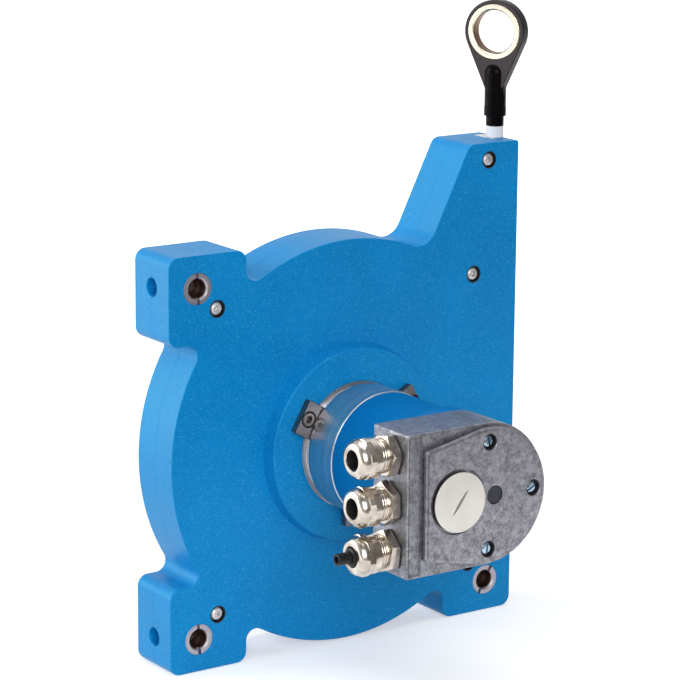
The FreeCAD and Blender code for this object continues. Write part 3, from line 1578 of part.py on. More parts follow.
make_rear_shell()
make_front_shell()
for corner, sleeve_place in zip(("upper_left", "lower_left", "lower_right"), lug_places):
    make_mounting_sleeve(f"mounting_sleeve_{corner}", *sleeve_place)
make_housing_screws()
make_wire_guide()
make_guide_bush()
make_bearing(
    "drum_bearing_rear", rear_bearing_start, size.drum_bearing_width,
    size.shaft_radius, size.drum_bearing_radius,
)
make_bearing(
    "drum_bearing_front", drum_bearing_seat, size.drum_bearing_width,
    size.shaft_radius, size.drum_bearing_radius,
)
make_spring_arbor()
make_spiral_spring()
make_wire_drum()
make_drum_shaft()
make_hub_screws()
make_spring_cover()
make_wound_wire()
make_wire_lead()
make_wire_run()
make_bumper()
make_ferrule()
make_eye()
make_eye_bush()
make_encoder_flange()
for clamp_number, clamp_angle in enumerate(CLAMP_ANGLES, 1):
    make_servo_clamp(f"servo_clamp_{clamp_number}", clamp_angle)
make_clamp_screws()
make_encoder_sleeve()
make_bearing(
    "encoder_bearing_rear", rear_encoder_bearing, size.encoder_bearing_width,
    size.encoder_shaft_radius, size.encoder_bearing_radius,
)
make_bearing(
    "encoder_bearing_front", front_encoder_bearing, size.encoder_bearing_width,
    size.encoder_shaft_radius, size.encoder_bearing_radius,
)
make_encoder_shaft()
make_code_disc()
make_board("sensor_board", sensor_board_depth)
make_board("main_board", main_board_depth)
make_spacers()
make_adapter_block()
make_cap_posts()
make_cap_gasket()
make_adapter_cap()
make_lens()
make_cap_screws()
make_access_plug()
make_plug_ring()
for gland_number, gland_up in enumerate(gland_heights, 1):
    make_gland_body(gland_number, gland_up)
    make_gland_nut(gland_number, gland_up)
    make_gland_seal(gland_number, gland_up)
make_gland_rings()
make_blanking_pin()
document.recompute()

for item in document.Objects:
    if "Invalid" in item.State or "Error" in item.State:
        raise ValueError(f"{item.Label} could not be worked out")
for feature in cuts:
    before = feature.BaseFeature.Shape.Volume
    if before - feature.Shape.Volume < LEAST_VOLUME:
        raise ValueError(f"{feature.Label} takes nothing away")
for piece in pieces:
    if piece.Shape.isNull() or not piece.Shape.isValid():
        raise ValueError(f"{piece.Label} has no sound shape")

os.makedirs("parts", exist_ok=True)
for piece in pieces:
    piece.Shape.exportStep(f"parts/{piece.Label}.step")
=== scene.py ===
# %% [markdown]
# A draw wire encoder measures travel: a thin steel wire with a swivel eye is pulled out of a flat
# housing, turns a drum, and the drum turns the round encoder on the housing's front. This notebook
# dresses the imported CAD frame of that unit. Hard pieces with soft edges catch the light, so most
# of the visible pieces are drawn again here from profiles and outlines with rounded corners.

# %% Load the frame
import math

import bmesh
import bpy
from mathutils import Matrix, Vector


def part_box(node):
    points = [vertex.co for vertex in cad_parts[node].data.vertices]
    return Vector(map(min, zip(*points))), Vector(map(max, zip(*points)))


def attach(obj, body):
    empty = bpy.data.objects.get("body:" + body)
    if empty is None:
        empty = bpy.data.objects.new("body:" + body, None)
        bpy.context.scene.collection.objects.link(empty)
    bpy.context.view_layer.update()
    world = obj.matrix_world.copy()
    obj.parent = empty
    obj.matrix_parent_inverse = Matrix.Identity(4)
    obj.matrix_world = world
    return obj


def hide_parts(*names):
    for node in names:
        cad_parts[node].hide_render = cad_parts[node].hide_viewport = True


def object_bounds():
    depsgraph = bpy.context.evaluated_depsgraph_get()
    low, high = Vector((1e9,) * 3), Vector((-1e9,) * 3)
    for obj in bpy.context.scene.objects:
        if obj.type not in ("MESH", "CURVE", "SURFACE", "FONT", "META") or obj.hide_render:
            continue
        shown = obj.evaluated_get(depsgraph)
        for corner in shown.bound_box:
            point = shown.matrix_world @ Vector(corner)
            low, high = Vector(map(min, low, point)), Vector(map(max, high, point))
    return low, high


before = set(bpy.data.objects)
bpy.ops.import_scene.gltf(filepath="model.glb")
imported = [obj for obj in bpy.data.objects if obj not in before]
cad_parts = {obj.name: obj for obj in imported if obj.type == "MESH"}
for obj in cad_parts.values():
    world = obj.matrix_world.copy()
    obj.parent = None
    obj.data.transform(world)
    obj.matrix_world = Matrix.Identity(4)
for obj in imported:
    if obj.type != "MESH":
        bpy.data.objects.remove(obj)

MM = 0.001
cad_low, cad_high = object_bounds()
print("CAD box", [round(x, 4) for x in cad_low], [round(x, 4) for x in cad_high])

# %% [markdown]
# The frame's own boxes give the places: nothing is measured twice. Depths are counted to the
# front of the unit, which is minus Y, so a piece's front is the low corner of its box.

# %% Places from the frame
def middle(name, axis):
    """Middle of a node's box along an axis."""
    low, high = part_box(name)
    return (getattr(low, axis) + getattr(high, axis)) / 2


def half_size(name, axis):
    """Half the size of a node's box along an axis."""
    low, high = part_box(name)
    return (getattr(high, axis) - getattr(low, axis)) / 2


rear_low, rear_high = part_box("rear_shell")
half_width = rear_high.x
tower_top = rear_high.z
sleeve_offset = middle("mounting_sleeve_upper_left", "z")
sleeve_radius = half_size("mounting_sleeve_upper_left", "x")
SLEEVE_SINK = 0.3 * MM
face = SLEEVE_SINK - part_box("mounting_sleeve_upper_left")[0].y
boss = -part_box("front_shell")[0].y
parting = -rear_low.y
wire_x = middle("wire_run", "x")
wire_y = middle("wire_run", "y")
wire_place = (wire_x, wire_y, 0)
print("housing", round(2 * half_width, 4), "depth", round(face, 4), "tower", round(tower_top, 4))

# %% [markdown]
# Small helpers. A profile or an outline is a list of two-dimensional points, and every corner of
# it can be rounded by a small arc, as a deburred edge is on the real piece. A real edge is never
# perfectly sharp, and that thin highlight tells the eye how large a thing is.


# %% Rounded corners
def arc(centre, radius, start, end, steps=8):
    """Points on an arc between two angles in degrees, both ends included."""
    points = []
    for number in range(steps + 1):
        angle = math.radians(start + (end - start) * number / steps)
        points.append((centre[0] + radius * math.cos(angle), centre[1] + radius * math.sin(angle)))
    return points


ROUND_STEPS = 3
LEAST_TURN = math.radians(12)


def rounded(points, radius, closed=True):
    """Round the corners of a line of (x, y) or (x, y, own radius) points."""
    count = len(points)
    result = []
    for number, point in enumerate(points):
        own = point[2] if len(point) > 2 else radius
        here = Vector(point[:2])
        before = Vector(points[number - 1][:2]) - here
        after = Vector(points[(number + 1) % count][:2]) - here
        at_end = not closed and number in (0, count - 1)
        flat = at_end or own <= 0 or min(before.length, after.length) < 1e-9
        turn = 0 if flat else math.pi - before.angle(after)
        if turn < LEAST_TURN:
            result.append(tuple(here))
            continue
        reach = min(own * math.tan(turn / 2), before.length * 0.45, after.length * 0.45)
        start = here + before.normalized() * reach
        end = here + after.normalized() * reach
        for step in range(ROUND_STEPS + 1):
            share = step / ROUND_STEPS
            result.append(tuple(start.lerp(here, share).lerp(here.lerp(end, share), share)))
    return result


# %% [markdown]
# Two builders make nearly everything: one turns a profile about an axis, as a lathe does, and one
# pushes an outline along an axis, with a rounded rim at both ends. The mesh is closed and its
# faces point outwards. A weighted normal modifier keeps large flat faces flat up to their rims.

# %% Pieces and their finish
AXES = {
    "front": (Vector((1, 0, 0)), Vector((0, 0, 1)), Vector((0, -1, 0))),
    "left": (Vector((0, -1, 0)), Vector((0, 0, 1)), Vector((-1, 0, 0))),
    "up": (Vector((1, 0, 0)), Vector((0, 1, 0)), Vector((0, 0, 1))),
}


def new_object(name, data):
    """Put an object with its mesh, lamp or camera into the scene."""
    made = bpy.data.objects.new(name, data)
    bpy.context.scene.collection.objects.link(made)
    return made


def new_piece(name, vertices, faces):
    """Make a closed object from vertices and faces, with smooth shading between sharp edges."""
    mesh = bpy.data.meshes.new(name)
    mesh.from_pydata(vertices, [], faces)
    tidy_mesh(mesh)
    return new_object(name, mesh)


def tidy_mesh(mesh, sharp_angle=40):
    """Merge doubles, turn the faces outwards and mark the sharp edges."""
    work = bmesh.new()
    work.from_mesh(mesh)
    bmesh.ops.remove_doubles(work, verts=work.verts, dist=1e-7)
    bmesh.ops.recalc_face_normals(work, faces=work.faces)
    for flat in work.faces:
        flat.smooth = True
    for edge in work.edges:
        sharp = len(edge.link_faces) != 2 or edge.calc_face_angle(0) > math.radians(sharp_angle)
        edge.smooth = not sharp
    work.to_mesh(mesh)
    work.free()
    mesh.update()


def finish(piece, material, body, replaced=()):
    """Give a piece its material, its even normals and the body that it rides on."""
    piece.data.materials.clear()
    piece.data.materials.append(material)
    even = piece.modifiers.new("even normals", "WEIGHTED_NORMAL")
    even.keep_sharp = True
    even.weight = 60
    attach(piece, body)
    if replaced:
        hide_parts(*replaced)
    print(piece.name, "on", body, "faces", len(piece.data.polygons))


# %% Turned pieces
def turned(name, profile, place=(0, 0, 0), axis="front", segments=96, radius=0.0):
    """Turn a closed profile of (distance along the axis, radius) points about an axis.

    The last radius rounds the corners of the profile."""
    across, up, along = AXES[axis]
    points = rounded(profile, radius)
    origin = Vector(place)
    vertices = []
    rings = []
    for distance, out in points:
        if out < 1e-7:
            rings.append([len(vertices)])
            vertices.append(origin + along * distance)
            continue
        ring = []
        for number in range(segments):
            angle = 2 * math.pi * number / segments
            ring.append(len(vertices))
            side = across * math.cos(angle) + up * math.sin(angle)
            vertices.append(origin + along * distance + side * out)
        rings.append(ring)
    faces = []
    for number, ring in enumerate(rings):
        following = rings[(number + 1) % len(rings)]
        if len(ring) == 1 and len(following) == 1:
            continue
        for step in range(segments):
            further = (step + 1) % segments
            if len(ring) == 1:
                faces.append((ring[0], following[step], following[further]))
            elif len(following) == 1:
                faces.append((ring[step], ring[further], following[0]))
            else:
                faces.append((ring[step], ring[further], following[further], following[step]))
    return new_piece(name, vertices, faces)


# %% Extruded pieces
def inset_outline(points, distance):
    """Move each point of a closed outline to its inside by a distance."""
    area = sum(a[0] * b[1] - b[0] * a[1] for a, b in zip(points, points[1:] + points[:1]))
    side = 1 if area > 0 else -1
    result = []
    for number, point in enumerate(points):
        here = Vector(point)
        before = (here - Vector(points[number - 1])).normalized()
        after = (Vector(points[(number + 1) % len(points)]) - here).normalized()
        normals = [Vector((-way.y, way.x)) * side for way in (before, after)]
        inward = normals[0] + normals[1]
        inward /= max(inward.dot(normals[0]), 0.3)
        result.append(tuple(here + inward * distance))
    return result


def extruded(name, outline, near, far, place=(0, 0, 0), axis="front", rim=0.0, near_rim=None):
    """Push an outline along an axis from near to far, with rims of a radius at both ends."""
    across, up, along = AXES[axis]
    origin = Vector(place)
    near_rim = rim if near_rim is None else near_rim
    angles = [math.pi / 2 * step / ROUND_STEPS for step in range(ROUND_STEPS + 1)]
    levels = [
        (near_rim * (1 - math.sin(angle)), near + near_rim * (1 - math.cos(angle)))
        for angle in angles
    ] + [
        (rim * (1 - math.cos(angle)), far - rim * (1 - math.sin(angle))) for angle in angles
    ]
    vertices = []
    for inset, distance in levels:
        for x, y in inset_outline(outline, inset) if inset > 1e-9 else outline:
            vertices.append(origin + across * x + up * y + along * distance)
    count = len(outline)
    faces = [tuple(range(count))]
    for level in range(len(levels) - 1):
        for step in range(count):
            further = (step + 1) % count
            faces.append((
                level * count + step, level * count + further,
                (level + 1) * count + further, (level + 1) * count + step,
            ))
    faces.append(tuple((len(levels) - 1) * count + step for step in reversed(range(count))))
    return new_piece(name, vertices, faces)


# %% Cutting and joining
def combine(piece, others, operation, sharp_angle=32):
    """Combine a closed piece with others, one after the other, and remove them."""
    for other in others:
        boolean = piece.modifiers.new("combine", "BOOLEAN")
        boolean.object = other
        boolean.operation = operation
        boolean.solver = "EXACT"
        apply_modifiers(piece)
        bpy.data.objects.remove(other)
    tidy_mesh(piece.data, sharp_angle)
    return piece


def cut(piece, *cutters):
    """Take the cutters away from a piece."""
    return combine(piece, cutters, "DIFFERENCE")


def unite(piece, *others):
    """Join other closed pieces to a piece as one solid."""
    return combine(piece, others, "UNION")


def common(piece, other):
    """Keep only what two closed pieces share."""
    return combine(piece, [other], "INTERSECT", 24)


def apply_modifiers(piece):
    """Turn the evaluated shape of a piece into its plain mesh."""
    bpy.context.view_layer.update()
    shape = piece.evaluated_get(bpy.context.evaluated_depsgraph_get())
    mesh = bpy.data.meshes.new_from_object(shape)
    piece.modifiers.clear()
    old = piece.data
    piece.data = mesh
    bpy.data.meshes.remove(old)


# %% Cutters and outlines
def hole(x, z, radius, near, far, bevel=0.35 * MM, axis="front", segments=64):
    """Make a cutter for a round hole whose mouth at far has a small bevel."""
    over = far + 1 * MM
    centre = AXES[axis][0] * x + AXES[axis][1] * z
    return turned("cutter", [
        (near, 0), (near, radius), (far - bevel, radius), (far, radius + bevel),
        (over, radius + bevel), (over, 0),
    ], centre, axis, segments)


def rod(radius, near, far, **more):
    """Make a plain round rod from near to far, as a cutter or as a spigot."""
    return turned("rod", [(near, 0), (near, radius), (far, radius), (far, 0)], **more)


def corners(low, high):
    """Outline of an upright rectangle between two of its corners."""
    return [low, (high[0], low[1]), high, (low[0], high[1])]


def slab(low, high, near, far):
    """Make a cutter with square corners between two corners of its outline."""
    return extruded("cutter", corners(low, high), near, far)


def hexagon(radius, turn=0):
    return arc((0, 0), radius, turn, turn + 360, 6)[:-1]


# %% [markdown]
# Camera. The photograph shows the unit from the left and a little from above. A long lens with a
# small shift keeps upright edges nearly upright and the unit in the picture from every side.

# %% Camera
PHOTO_SIZE = 680
PHOTO_FOCAL = 2831.6
PHOTO_AXIS = (345, 320)
CAMERA_PLACE = Vector((-710.4, -1056.9, 337.0)) * MM
CAMERA_AZIMUTH = math.radians(34.557)
CAMERA_FALL = math.radians(12.641)
CAMERA_ROLL = math.radians(0.466)

lens = bpy.data.cameras.new("camera")
lens.sensor_width = 36
lens.lens = PHOTO_FOCAL * lens.sensor_width / PHOTO_SIZE
lens.shift_x = (PHOTO_SIZE / 2 - PHOTO_AXIS[0]) / PHOTO_SIZE
lens.shift_y = (PHOTO_AXIS[1] - PHOTO_SIZE / 2) / PHOTO_SIZE
camera = new_object("camera", lens)
forward = Vector((
    math.sin(CAMERA_AZIMUTH) * math.cos(CAMERA_FALL),
    math.cos(CAMERA_AZIMUTH) * math.cos(CAMERA_FALL),
    -math.sin(CAMERA_FALL),
))
level = Vector((math.cos(CAMERA_AZIMUTH), -math.sin(CAMERA_AZIMUTH), 0))
raised = level.cross(forward)
camera_right = level * math.cos(CAMERA_ROLL) + raised * math.sin(CAMERA_ROLL)
camera_up = -level * math.sin(CAMERA_ROLL) + raised * math.cos(CAMERA_ROLL)
turn = Matrix((camera_right, camera_up, -forward)).transposed()
camera.matrix_world = Matrix.Translation(CAMERA_PLACE) @ turn.to_4x4()
bpy.context.scene.camera = camera
print("lens", round(lens.lens, 1), "shift", round(lens.shift_x, 3), round(lens.shift_y, 3))

# %% [markdown]
# Every finish, the table and the two Geometry Nodes trees are graphs of nodes. One helper adds a
# node with its settings and joins its inputs, so that each graph can be read from top to bottom.

# %% Node helpers
WHITE = (1, 1, 1, 1)


def node(tree, kind, inputs=(), outlet=0, **settings):
    """Add a node and give one of its outlets, or all of them where outlet is None.

    Each input is a value or an outlet of another node."""
    made = tree.nodes.new(kind if "Node" in kind else "ShaderNode" + kind)
    for key, value in settings.items():
        setattr(made, key, value)
    for key, value in dict(inputs).items():
        if isinstance(value, bpy.types.NodeSocket):
            tree.links.new(value, made.inputs[key])
        else:
            made.inputs[key].default_value = value
    return made.outputs if outlet is None else made.outputs[outlet]


def maths(tree, operation, first, second=0.0):
    return node(tree, "Math", {0: first, 1: second}, operation=operation)


def length_of(tree, vector):
    return node(tree, "VectorMath", {0: vector}, "Value", operation="LENGTH")


def is_ray(tree, *kinds):
    """One where a ray is of one of the kinds, and zero elsewhere."""
    seen = 0.0
    for kind in kinds:
        seen = maths(tree, "MAXIMUM", seen, node(tree, "LightPath", outlet=f"Is {kind} Ray"))
    return seen


# %% [markdown]
# Light. The unit stands on a white studio table. What lies behind it is white and the room in
# front of it is dim, so the faces that turn away to the left and upwards carry a pale sheen at
# their flat angle. The table ends a little in front of the unit, so that the front mirrors the dim
# room and keeps its deep colour. The white is a colour for camera, glossy and transmission rays
# and never more light on the object.

# %% Floor and backdrop
TABLE_Z = cad_low.z - 0.2 * MM
TABLE_SHADE = 0.8
NEAR_TABLE = 0.25
NEAR_GLOW = 0.45
FAR_TABLE = 0.8
FLOOR_HALF = 8
TABLE_FRONT = -0.42

table_white = bpy.data.materials.new("table white")
table_white.use_nodes = True
tree = table_white.node_tree
tree.nodes.clear()
away = length_of(tree, node(tree, "TexCoord", outlet="Object"))
growth = node(tree, "MapRange", {
    "Value": away, "From Min": NEAR_TABLE, "From Max": FAR_TABLE, "To Min": NEAR_GLOW, "To Max": 1,
})
strength = maths(tree, "MULTIPLY", is_ray(tree, "Camera", "Glossy", "Transmission"), growth)
glow = node(tree, "Emission", {"Color": WHITE, "Strength": strength})
matte = node(tree, "BsdfDiffuse", {"Color": (TABLE_SHADE, TABLE_SHADE, TABLE_SHADE, 1)})
both = node(tree, "AddShader", {0: matte, 1: glow})
node(tree, "OutputMaterial", {"Surface": both}, None)

floor_mesh = bpy.data.meshes.new("floor")
floor_mesh.from_pydata([
    (-FLOOR_HALF, TABLE_FRONT, TABLE_Z), (FLOOR_HALF, TABLE_FRONT, TABLE_Z),
    (FLOOR_HALF, FLOOR_HALF, TABLE_Z), (-FLOOR_HALF, FLOOR_HALF, TABLE_Z),
], [], [(0, 1, 2, 3)])
floor_mesh.materials.append(table_white)
new_object("floor", floor_mesh)
print("floor at", round(TABLE_Z, 4))

# %% [markdown]
# Three soft lamps: a key lamp beside the camera, one behind on the left that gives the left faces
# their bright edge, and one above. The world is an even fill for matte surfaces.


# %% Lamps and world
def soft_lamp(name, place, width, height, power):
    light = bpy.data.lights.new(name, "AREA")
    light.shape = "RECTANGLE"
    light.size = width
    light.size_y = height
    light.energy = power
    turn = (OBJECT_MIDDLE - Vector(place)).to_track_quat("-Z", "Y").to_matrix().to_4x4()
    new_object(name, light).matrix_world = Matrix.Translation(Vector(place)) @ turn


OBJECT_MIDDLE = Vector((0, -0.05, 0.04))
soft_lamp("key lamp", (-1.0, -2.1, 0.9), 1.5, 1.3, 40)
soft_lamp("left lamp", (-1.5, 1.1, 0.6), 1.2, 1.4, 27)
soft_lamp("top lamp", (0.1, 0.0, 1.9), 1.4, 1.2, 16)

ROOM_LIGHT = 0.18
ROOM_IN_FRONT = 0.1
HORIZON = 0.25
world = bpy.data.worlds.new("studio")
world.use_nodes = True
bpy.context.scene.world = world
tree = world.node_tree
tree.nodes.clear()
way = node(tree, "TexCoord", outlet="Generated")
behind = node(tree, "MapRange", {
    "Value": node(tree, "SeparateXYZ", {0: way}, "Y"), "From Min": -HORIZON, "From Max": HORIZON,
    "To Min": ROOM_IN_FRONT,
})
mirrored = maths(tree, "MULTIPLY", is_ray(tree, "Glossy"), behind)
seen = maths(tree, "MAXIMUM", mirrored, is_ray(tree, "Camera", "Transmission"))
fill = node(tree, "Background", {"Color": WHITE, "Strength": ROOM_LIGHT})
white = node(tree, "Background", {"Color": WHITE, "Strength": 1})
mix = node(tree, "MixShader", {0: seen, 1: fill, 2: white})
node(tree, "OutputWorld", {"Surface": mix}, None)
bpy.context.scene.view_settings.view_transform = "Standard"
print("lamps", len(bpy.data.lights))

# %% [markdown]
# Materials. Each finish is a small node tree on Object coordinates, so that a pattern keeps its
# real size on every piece. Colours are written as the screen shows them and changed to linear
# light once. Moulded plastic has a fine spark-eroded grain, turned metal has fine rings about its
# axis, cast metal is mottled, and plating is nearly plain with faint clouds in its gloss.


# %% Material builder
def colour(red, green, blue):
    """Change a screen colour from 0..255 to linear light."""
    linear = []
    for value in (red, green, blue):
        share = value / 255
        linear.append(share / 12.92 if share <= 0.04045 else ((share + 0.055) / 1.055) ** 2.4)
    return (*linear, 1)


def new_finish(name, base, metallic, roughness, specular=0.5):
    """Start a material and give back its tree and its shader too."""
    material = bpy.data.materials.new(name)
    material.use_nodes = True
    shader = material.node_tree.nodes["Principled BSDF"]
    for key, value in (("Base Color", base), ("Metallic", metallic), ("Roughness", roughness),
                       ("Specular IOR Level", specular)):
        shader.inputs[key].default_value = value
    return material, material.node_tree, shader


def object_noise(tree, scale, detail=4, **more):
    """Noise on Object coordinates, in cells of 1/scale metres."""
    inputs = {"Vector": node(tree, "TexCoord", outlet="Object"), "Scale": scale, "Detail": detail}
    return node(tree, "TexNoise", {**inputs, **more}, "Fac")


def spread(tree, source, low, high, start=0.3, end=0.7):
    """Spread a grey source between two colours."""
    ramp = tree.nodes.new("ShaderNodeValToRGB")
    for element, position, tone in zip(ramp.color_ramp.elements, (start, end), (low, high)):
        element.position = position
        element.color = tone
    tree.links.new(source, ramp.inputs["Fac"])
    return ramp.outputs["Color"]


def spread_value(tree, source, low, high, start=0.3, end=0.7):
    """Spread a grey source between two values."""
    return node(tree, "MapRange", {
        "Value": source, "From Min": start, "From Max": end, "To Min": low, "To Max": high,
    })


def mixed(tree, factor, first, second):
    """Mix two colours by a factor."""
    return node(tree, "Mix", {0: factor, 6: first, 7: second}, 2, data_type="RGBA")


def dress(tree, shader, tone, gloss, height, depth, strength=0.5):
    """Give a shader its colour, its roughness and a fine relief of a depth in metres."""
    relief = node(tree, "Bump", {"Strength": strength, "Distance": depth, "Height": height})
    for key, source in (("Base Color", tone), ("Roughness", gloss), ("Normal", relief)):
        tree.links.new(source, shader.inputs[key])


# %% Moulded, coated, cast and plated surfaces
def moulded(name, base, light, roughness, grain, depth=0.02 * MM, specular=0.45):
    """Moulded surface: fine grain, and colour that varies by a hair."""
    material, tree, shader = new_finish(name, base, 0, roughness, specular)
    fine = object_noise(tree, grain, 2)
    wide = object_noise(tree, 45, 3)
    gloss = spread_value(tree, wide, roughness - 0.05, roughness + 0.05)
    dress(tree, shader, spread(tree, fine, base, light, 0.3, 0.75), gloss, fine, depth)
    return material


def coated(name, base, light, glint_tone, roughness):
    """Sprayed coat: small bumps with pale tops as painted glints, and a sheen with a hint of the
    colour.
    """
    material, tree, shader = new_finish(name, base, 0, roughness, 0.42)
    shader.inputs["Specular Tint"].default_value = (0.3, 1, 0.5, 1)
    fine = object_noise(tree, 1700, 2)
    wide = object_noise(tree, 30, 3)
    # The pale specks on the highest bumps are painted glints of light.
    glint_tops = spread_value(tree, fine, 0, 1, 0.56, 0.8)
    tone = mixed(tree, glint_tops, spread(tree, wide, base, light), glint_tone)
    gloss = spread_value(tree, wide, roughness - 0.04, roughness + 0.04)
    dress(tree, shader, tone, gloss, fine, 0.05 * MM, 0.6)
    return material


def cast(name, dark, light, roughness):
    """Tumbled casting: clouds of tarnish a few millimetres wide over a soft grain."""
    material, tree, shader = new_finish(name, light, 0.9, roughness)
    cloud = object_noise(tree, 330, 9, Roughness=0.85, Distortion=0.15)
    fine = object_noise(tree, 1100, 3)
    gloss = spread_value(tree, cloud, roughness + 0.1, roughness - 0.06)
    dress(tree, shader, spread(tree, cloud, dark, light, 0.38, 0.66), gloss, fine, 0.02 * MM)
    return material


def plated(name, base, dark, roughness, scale=160, metallic=1.0, grain=0.35):
    """Plated or ground metal: clouds in the gloss, and no visible grain."""
    material, tree, shader = new_finish(name, base, metallic, roughness)
    cloud = object_noise(tree, scale)
    fine = object_noise(tree, scale * 22, 2)
    gloss = spread_value(tree, cloud, roughness - 0.05, roughness + 0.07)
    dress(tree, shader, spread(tree, cloud, dark, base, 0.25, 0.7), gloss, fine, 0.006 * MM, grain)
    return material


# %% Turned metal
def about_place(tree, place, turn):
    """Object coordinates counted from a place, with a turn about the vertical taken out."""
    return node(tree, "SeparateXYZ", {0: node(tree, "Mapping", {
        "Vector": node(tree, "TexCoord", outlet="Object"), "Rotation": (0, 0, turn),
        "Location": -(Matrix.Rotation(turn, 3, "Z") @ Vector(place)),
    })}, None)


def lathed(name, base, dark, place=(0, 0, 0), roughness=0.28, pitch=0.35 * MM, turn=0, bore=None):
    """Turned metal: fine rings that follow the tool about the axis through place.

    The axis points to the front before the turn. A bore is a radius and the darker colour
    painted inside it as shade."""
    material, tree, shader = new_finish(name, base, 1, roughness)
    local = about_place(tree, place, turn)
    squares = [maths(tree, "MULTIPLY", local[side], local[side]) for side in "XZ"]
    out = maths(tree, "SQRT", maths(tree, "ADD", *squares))
    reach = node(tree, "CombineXYZ", {"X": out, "Y": local["Y"]})
    rings = node(tree, "TexNoise", {"Vector": reach, "Scale": 1 / pitch, "Detail": 3}, "Fac")
    tone = spread(tree, rings, dark, base, 0.25, 0.6)
    # Inside a bore the colour turns darker: painted shade, where little light falls.
    if bore:
        tone = mixed(tree, maths(tree, "LESS_THAN", out, bore[0]), tone, bore[1])
    gloss = spread_value(tree, rings, roughness - 0.06, roughness + 0.1)
    dress(tree, shader, tone, gloss, rings, 0.012 * MM)
    return material


# %% [markdown]
# The blue of the housing is a through-dyed plastic with a satin grain. It looks deep blue in
# front and pale where the left and top faces mirror the lamps at a flat angle, so the colour is
# one and the gloss does the rest.

# %% Finishes of this unit
# The third colour of each blue is the pale speck of its painted glints.
housing_blue = coated("housing blue", colour(0, 123, 192), colour(0, 131, 202),
                      colour(66, 170, 224), 0.44)
encoder_blue = coated("encoder blue", colour(0, 104, 174), colour(0, 114, 185),
                      colour(30, 126, 192), 0.34)
guide_white = moulded("guide white", colour(232, 228, 220), colour(240, 237, 231), 0.5, 1800)
bumper_white = moulded("bumper white", colour(228, 230, 232), colour(240, 241, 242), 0.55, 1500)
gasket_black = moulded("gasket rubber", colour(22, 22, 24), colour(32, 32, 34), 0.6, 1500)
pin_black = moulded("pin plastic", colour(14, 14, 16), colour(24, 24, 26), 0.45, 1500,
                    specular=0.3)
lens_dark = moulded("lens", colour(20, 23, 38), colour(27, 30, 46), 0.3, 300,
                    depth=0.001 * MM, specular=0.6)
board_green = moulded("circuit board", colour(20, 92, 52), colour(28, 108, 62), 0.3, 500)
ceramic_white = moulded("ceramic", colour(236, 233, 224), colour(243, 240, 233), 0.15, 400)
adapter_grey = cast("adapter casting", colour(104, 104, 112), colour(180, 181, 188), 0.4)
cap_grey = cast("cap casting", colour(110, 109, 118), colour(190, 190, 198), 0.37)
insert_steel = plated("sleeve steel", colour(186, 182, 190), colour(150, 146, 155), 0.42)
screw_steel = plated("screw steel", colour(238, 237, 236), colour(196, 194, 194), 0.38,
                     metallic=0.6)
clamp_screw_steel = plated("socket screw steel", colour(118, 114, 112), colour(78, 75, 74), 0.36)
cap_screw_zinc = plated("screw zinc", colour(190, 212, 228), colour(140, 160, 178), 0.2)
plug_nickel = plated("plug nickel", colour(240, 237, 230), colour(222, 218, 210), 0.42,
                     scale=60, metallic=0.75, grain=0.1)
gland_nickel = plated("gland nickel", colour(232, 224, 214), colour(158, 146, 131), 0.21)
clamp_bright = plated("clamp metal", colour(128, 124, 128), colour(92, 89, 94), 0.42)
wire_steel = plated("wire strand", colour(186, 186, 188), colour(140, 140, 142), 0.3)
spring_steel = plated("spring strip", colour(118, 124, 134), colour(88, 92, 100), 0.3)
bearing_steel = plated("bearing steel", colour(200, 200, 202), colour(170, 170, 174), 0.15)
drum_metal = lathed("drum metal", colour(205, 206, 208), colour(170, 171, 175))
flange_metal = lathed("flange metal", colour(214, 215, 218), colour(176, 178, 184), roughness=0.3)
shaft_steel = lathed("shaft steel", colour(196, 197, 200), colour(160, 161, 165))
disc_glass, _, disc_shader = new_finish("disc glass", colour(215, 228, 230), 0, 0.05)
disc_shader.inputs["Transmission Weight"].default_value = 0.85

# %% [markdown]
# Every CAD node gets the finish of its real piece. The pieces inside the housing are closed in,
# show only when the unit is taken apart, and keep their CAD meshes, which are right as they are.
# Those outside are drawn again further down, and carry the same finish here.

# %% Finishes of the CAD nodes
NODE_FINISHES = {
    drum_metal: ("wire_drum", "drum_shaft", "spring_cover", "spring_arbor"),
    spring_steel: ("spiral_spring",),
    wire_steel: ("wound_wire", "wire_lead", "wire_run"),
    bearing_steel: (
        "drum_bearing_rear", "drum_bearing_front", "encoder_bearing_rear",
        "encoder_bearing_front",
    ),
    shaft_steel: ("encoder_shaft",),
    disc_glass: ("code_disc",),
    board_green: ("sensor_board", "main_board"),
    screw_steel: ("hub_screws", "board_spacers", "housing_screws"),
    clamp_screw_steel: ("clamp_screws",),
    adapter_grey: ("cap_posts", "adapter_block"),
    cap_grey: ("adapter_cap",),
    ceramic_white: ("guide_bush",),
    guide_white: ("wire_guide",),
    bumper_white: ("bumper",),
    gasket_black: (
        "cap_gasket", "plug_ring", "gland_rings", "gland_seal_1", "gland_seal_2", "gland_seal_3",
    ),
    pin_black: ("blanking_pin",),
    lens_dark: ("status_lens",),
    housing_blue: ("front_shell", "rear_shell"),
    encoder_blue: ("encoder_sleeve",),
    flange_metal: ("encoder_flange",),
    clamp_bright: ("servo_clamp_1", "servo_clamp_2", "servo_clamp_3"),
    insert_steel: (
        "mounting_sleeve_upper_left", "mounting_sleeve_lower_left", "mounting_sleeve_lower_right",
    ),
    cap_screw_zinc: ("cap_screws",),
    plug_nickel: ("access_plug",),
    gland_nickel: (
        "gland_body_1", "gland_body_2", "gland_body_3", "gland_nut_1", "gland_nut_2",
        "gland_nut_3",
    ),
}
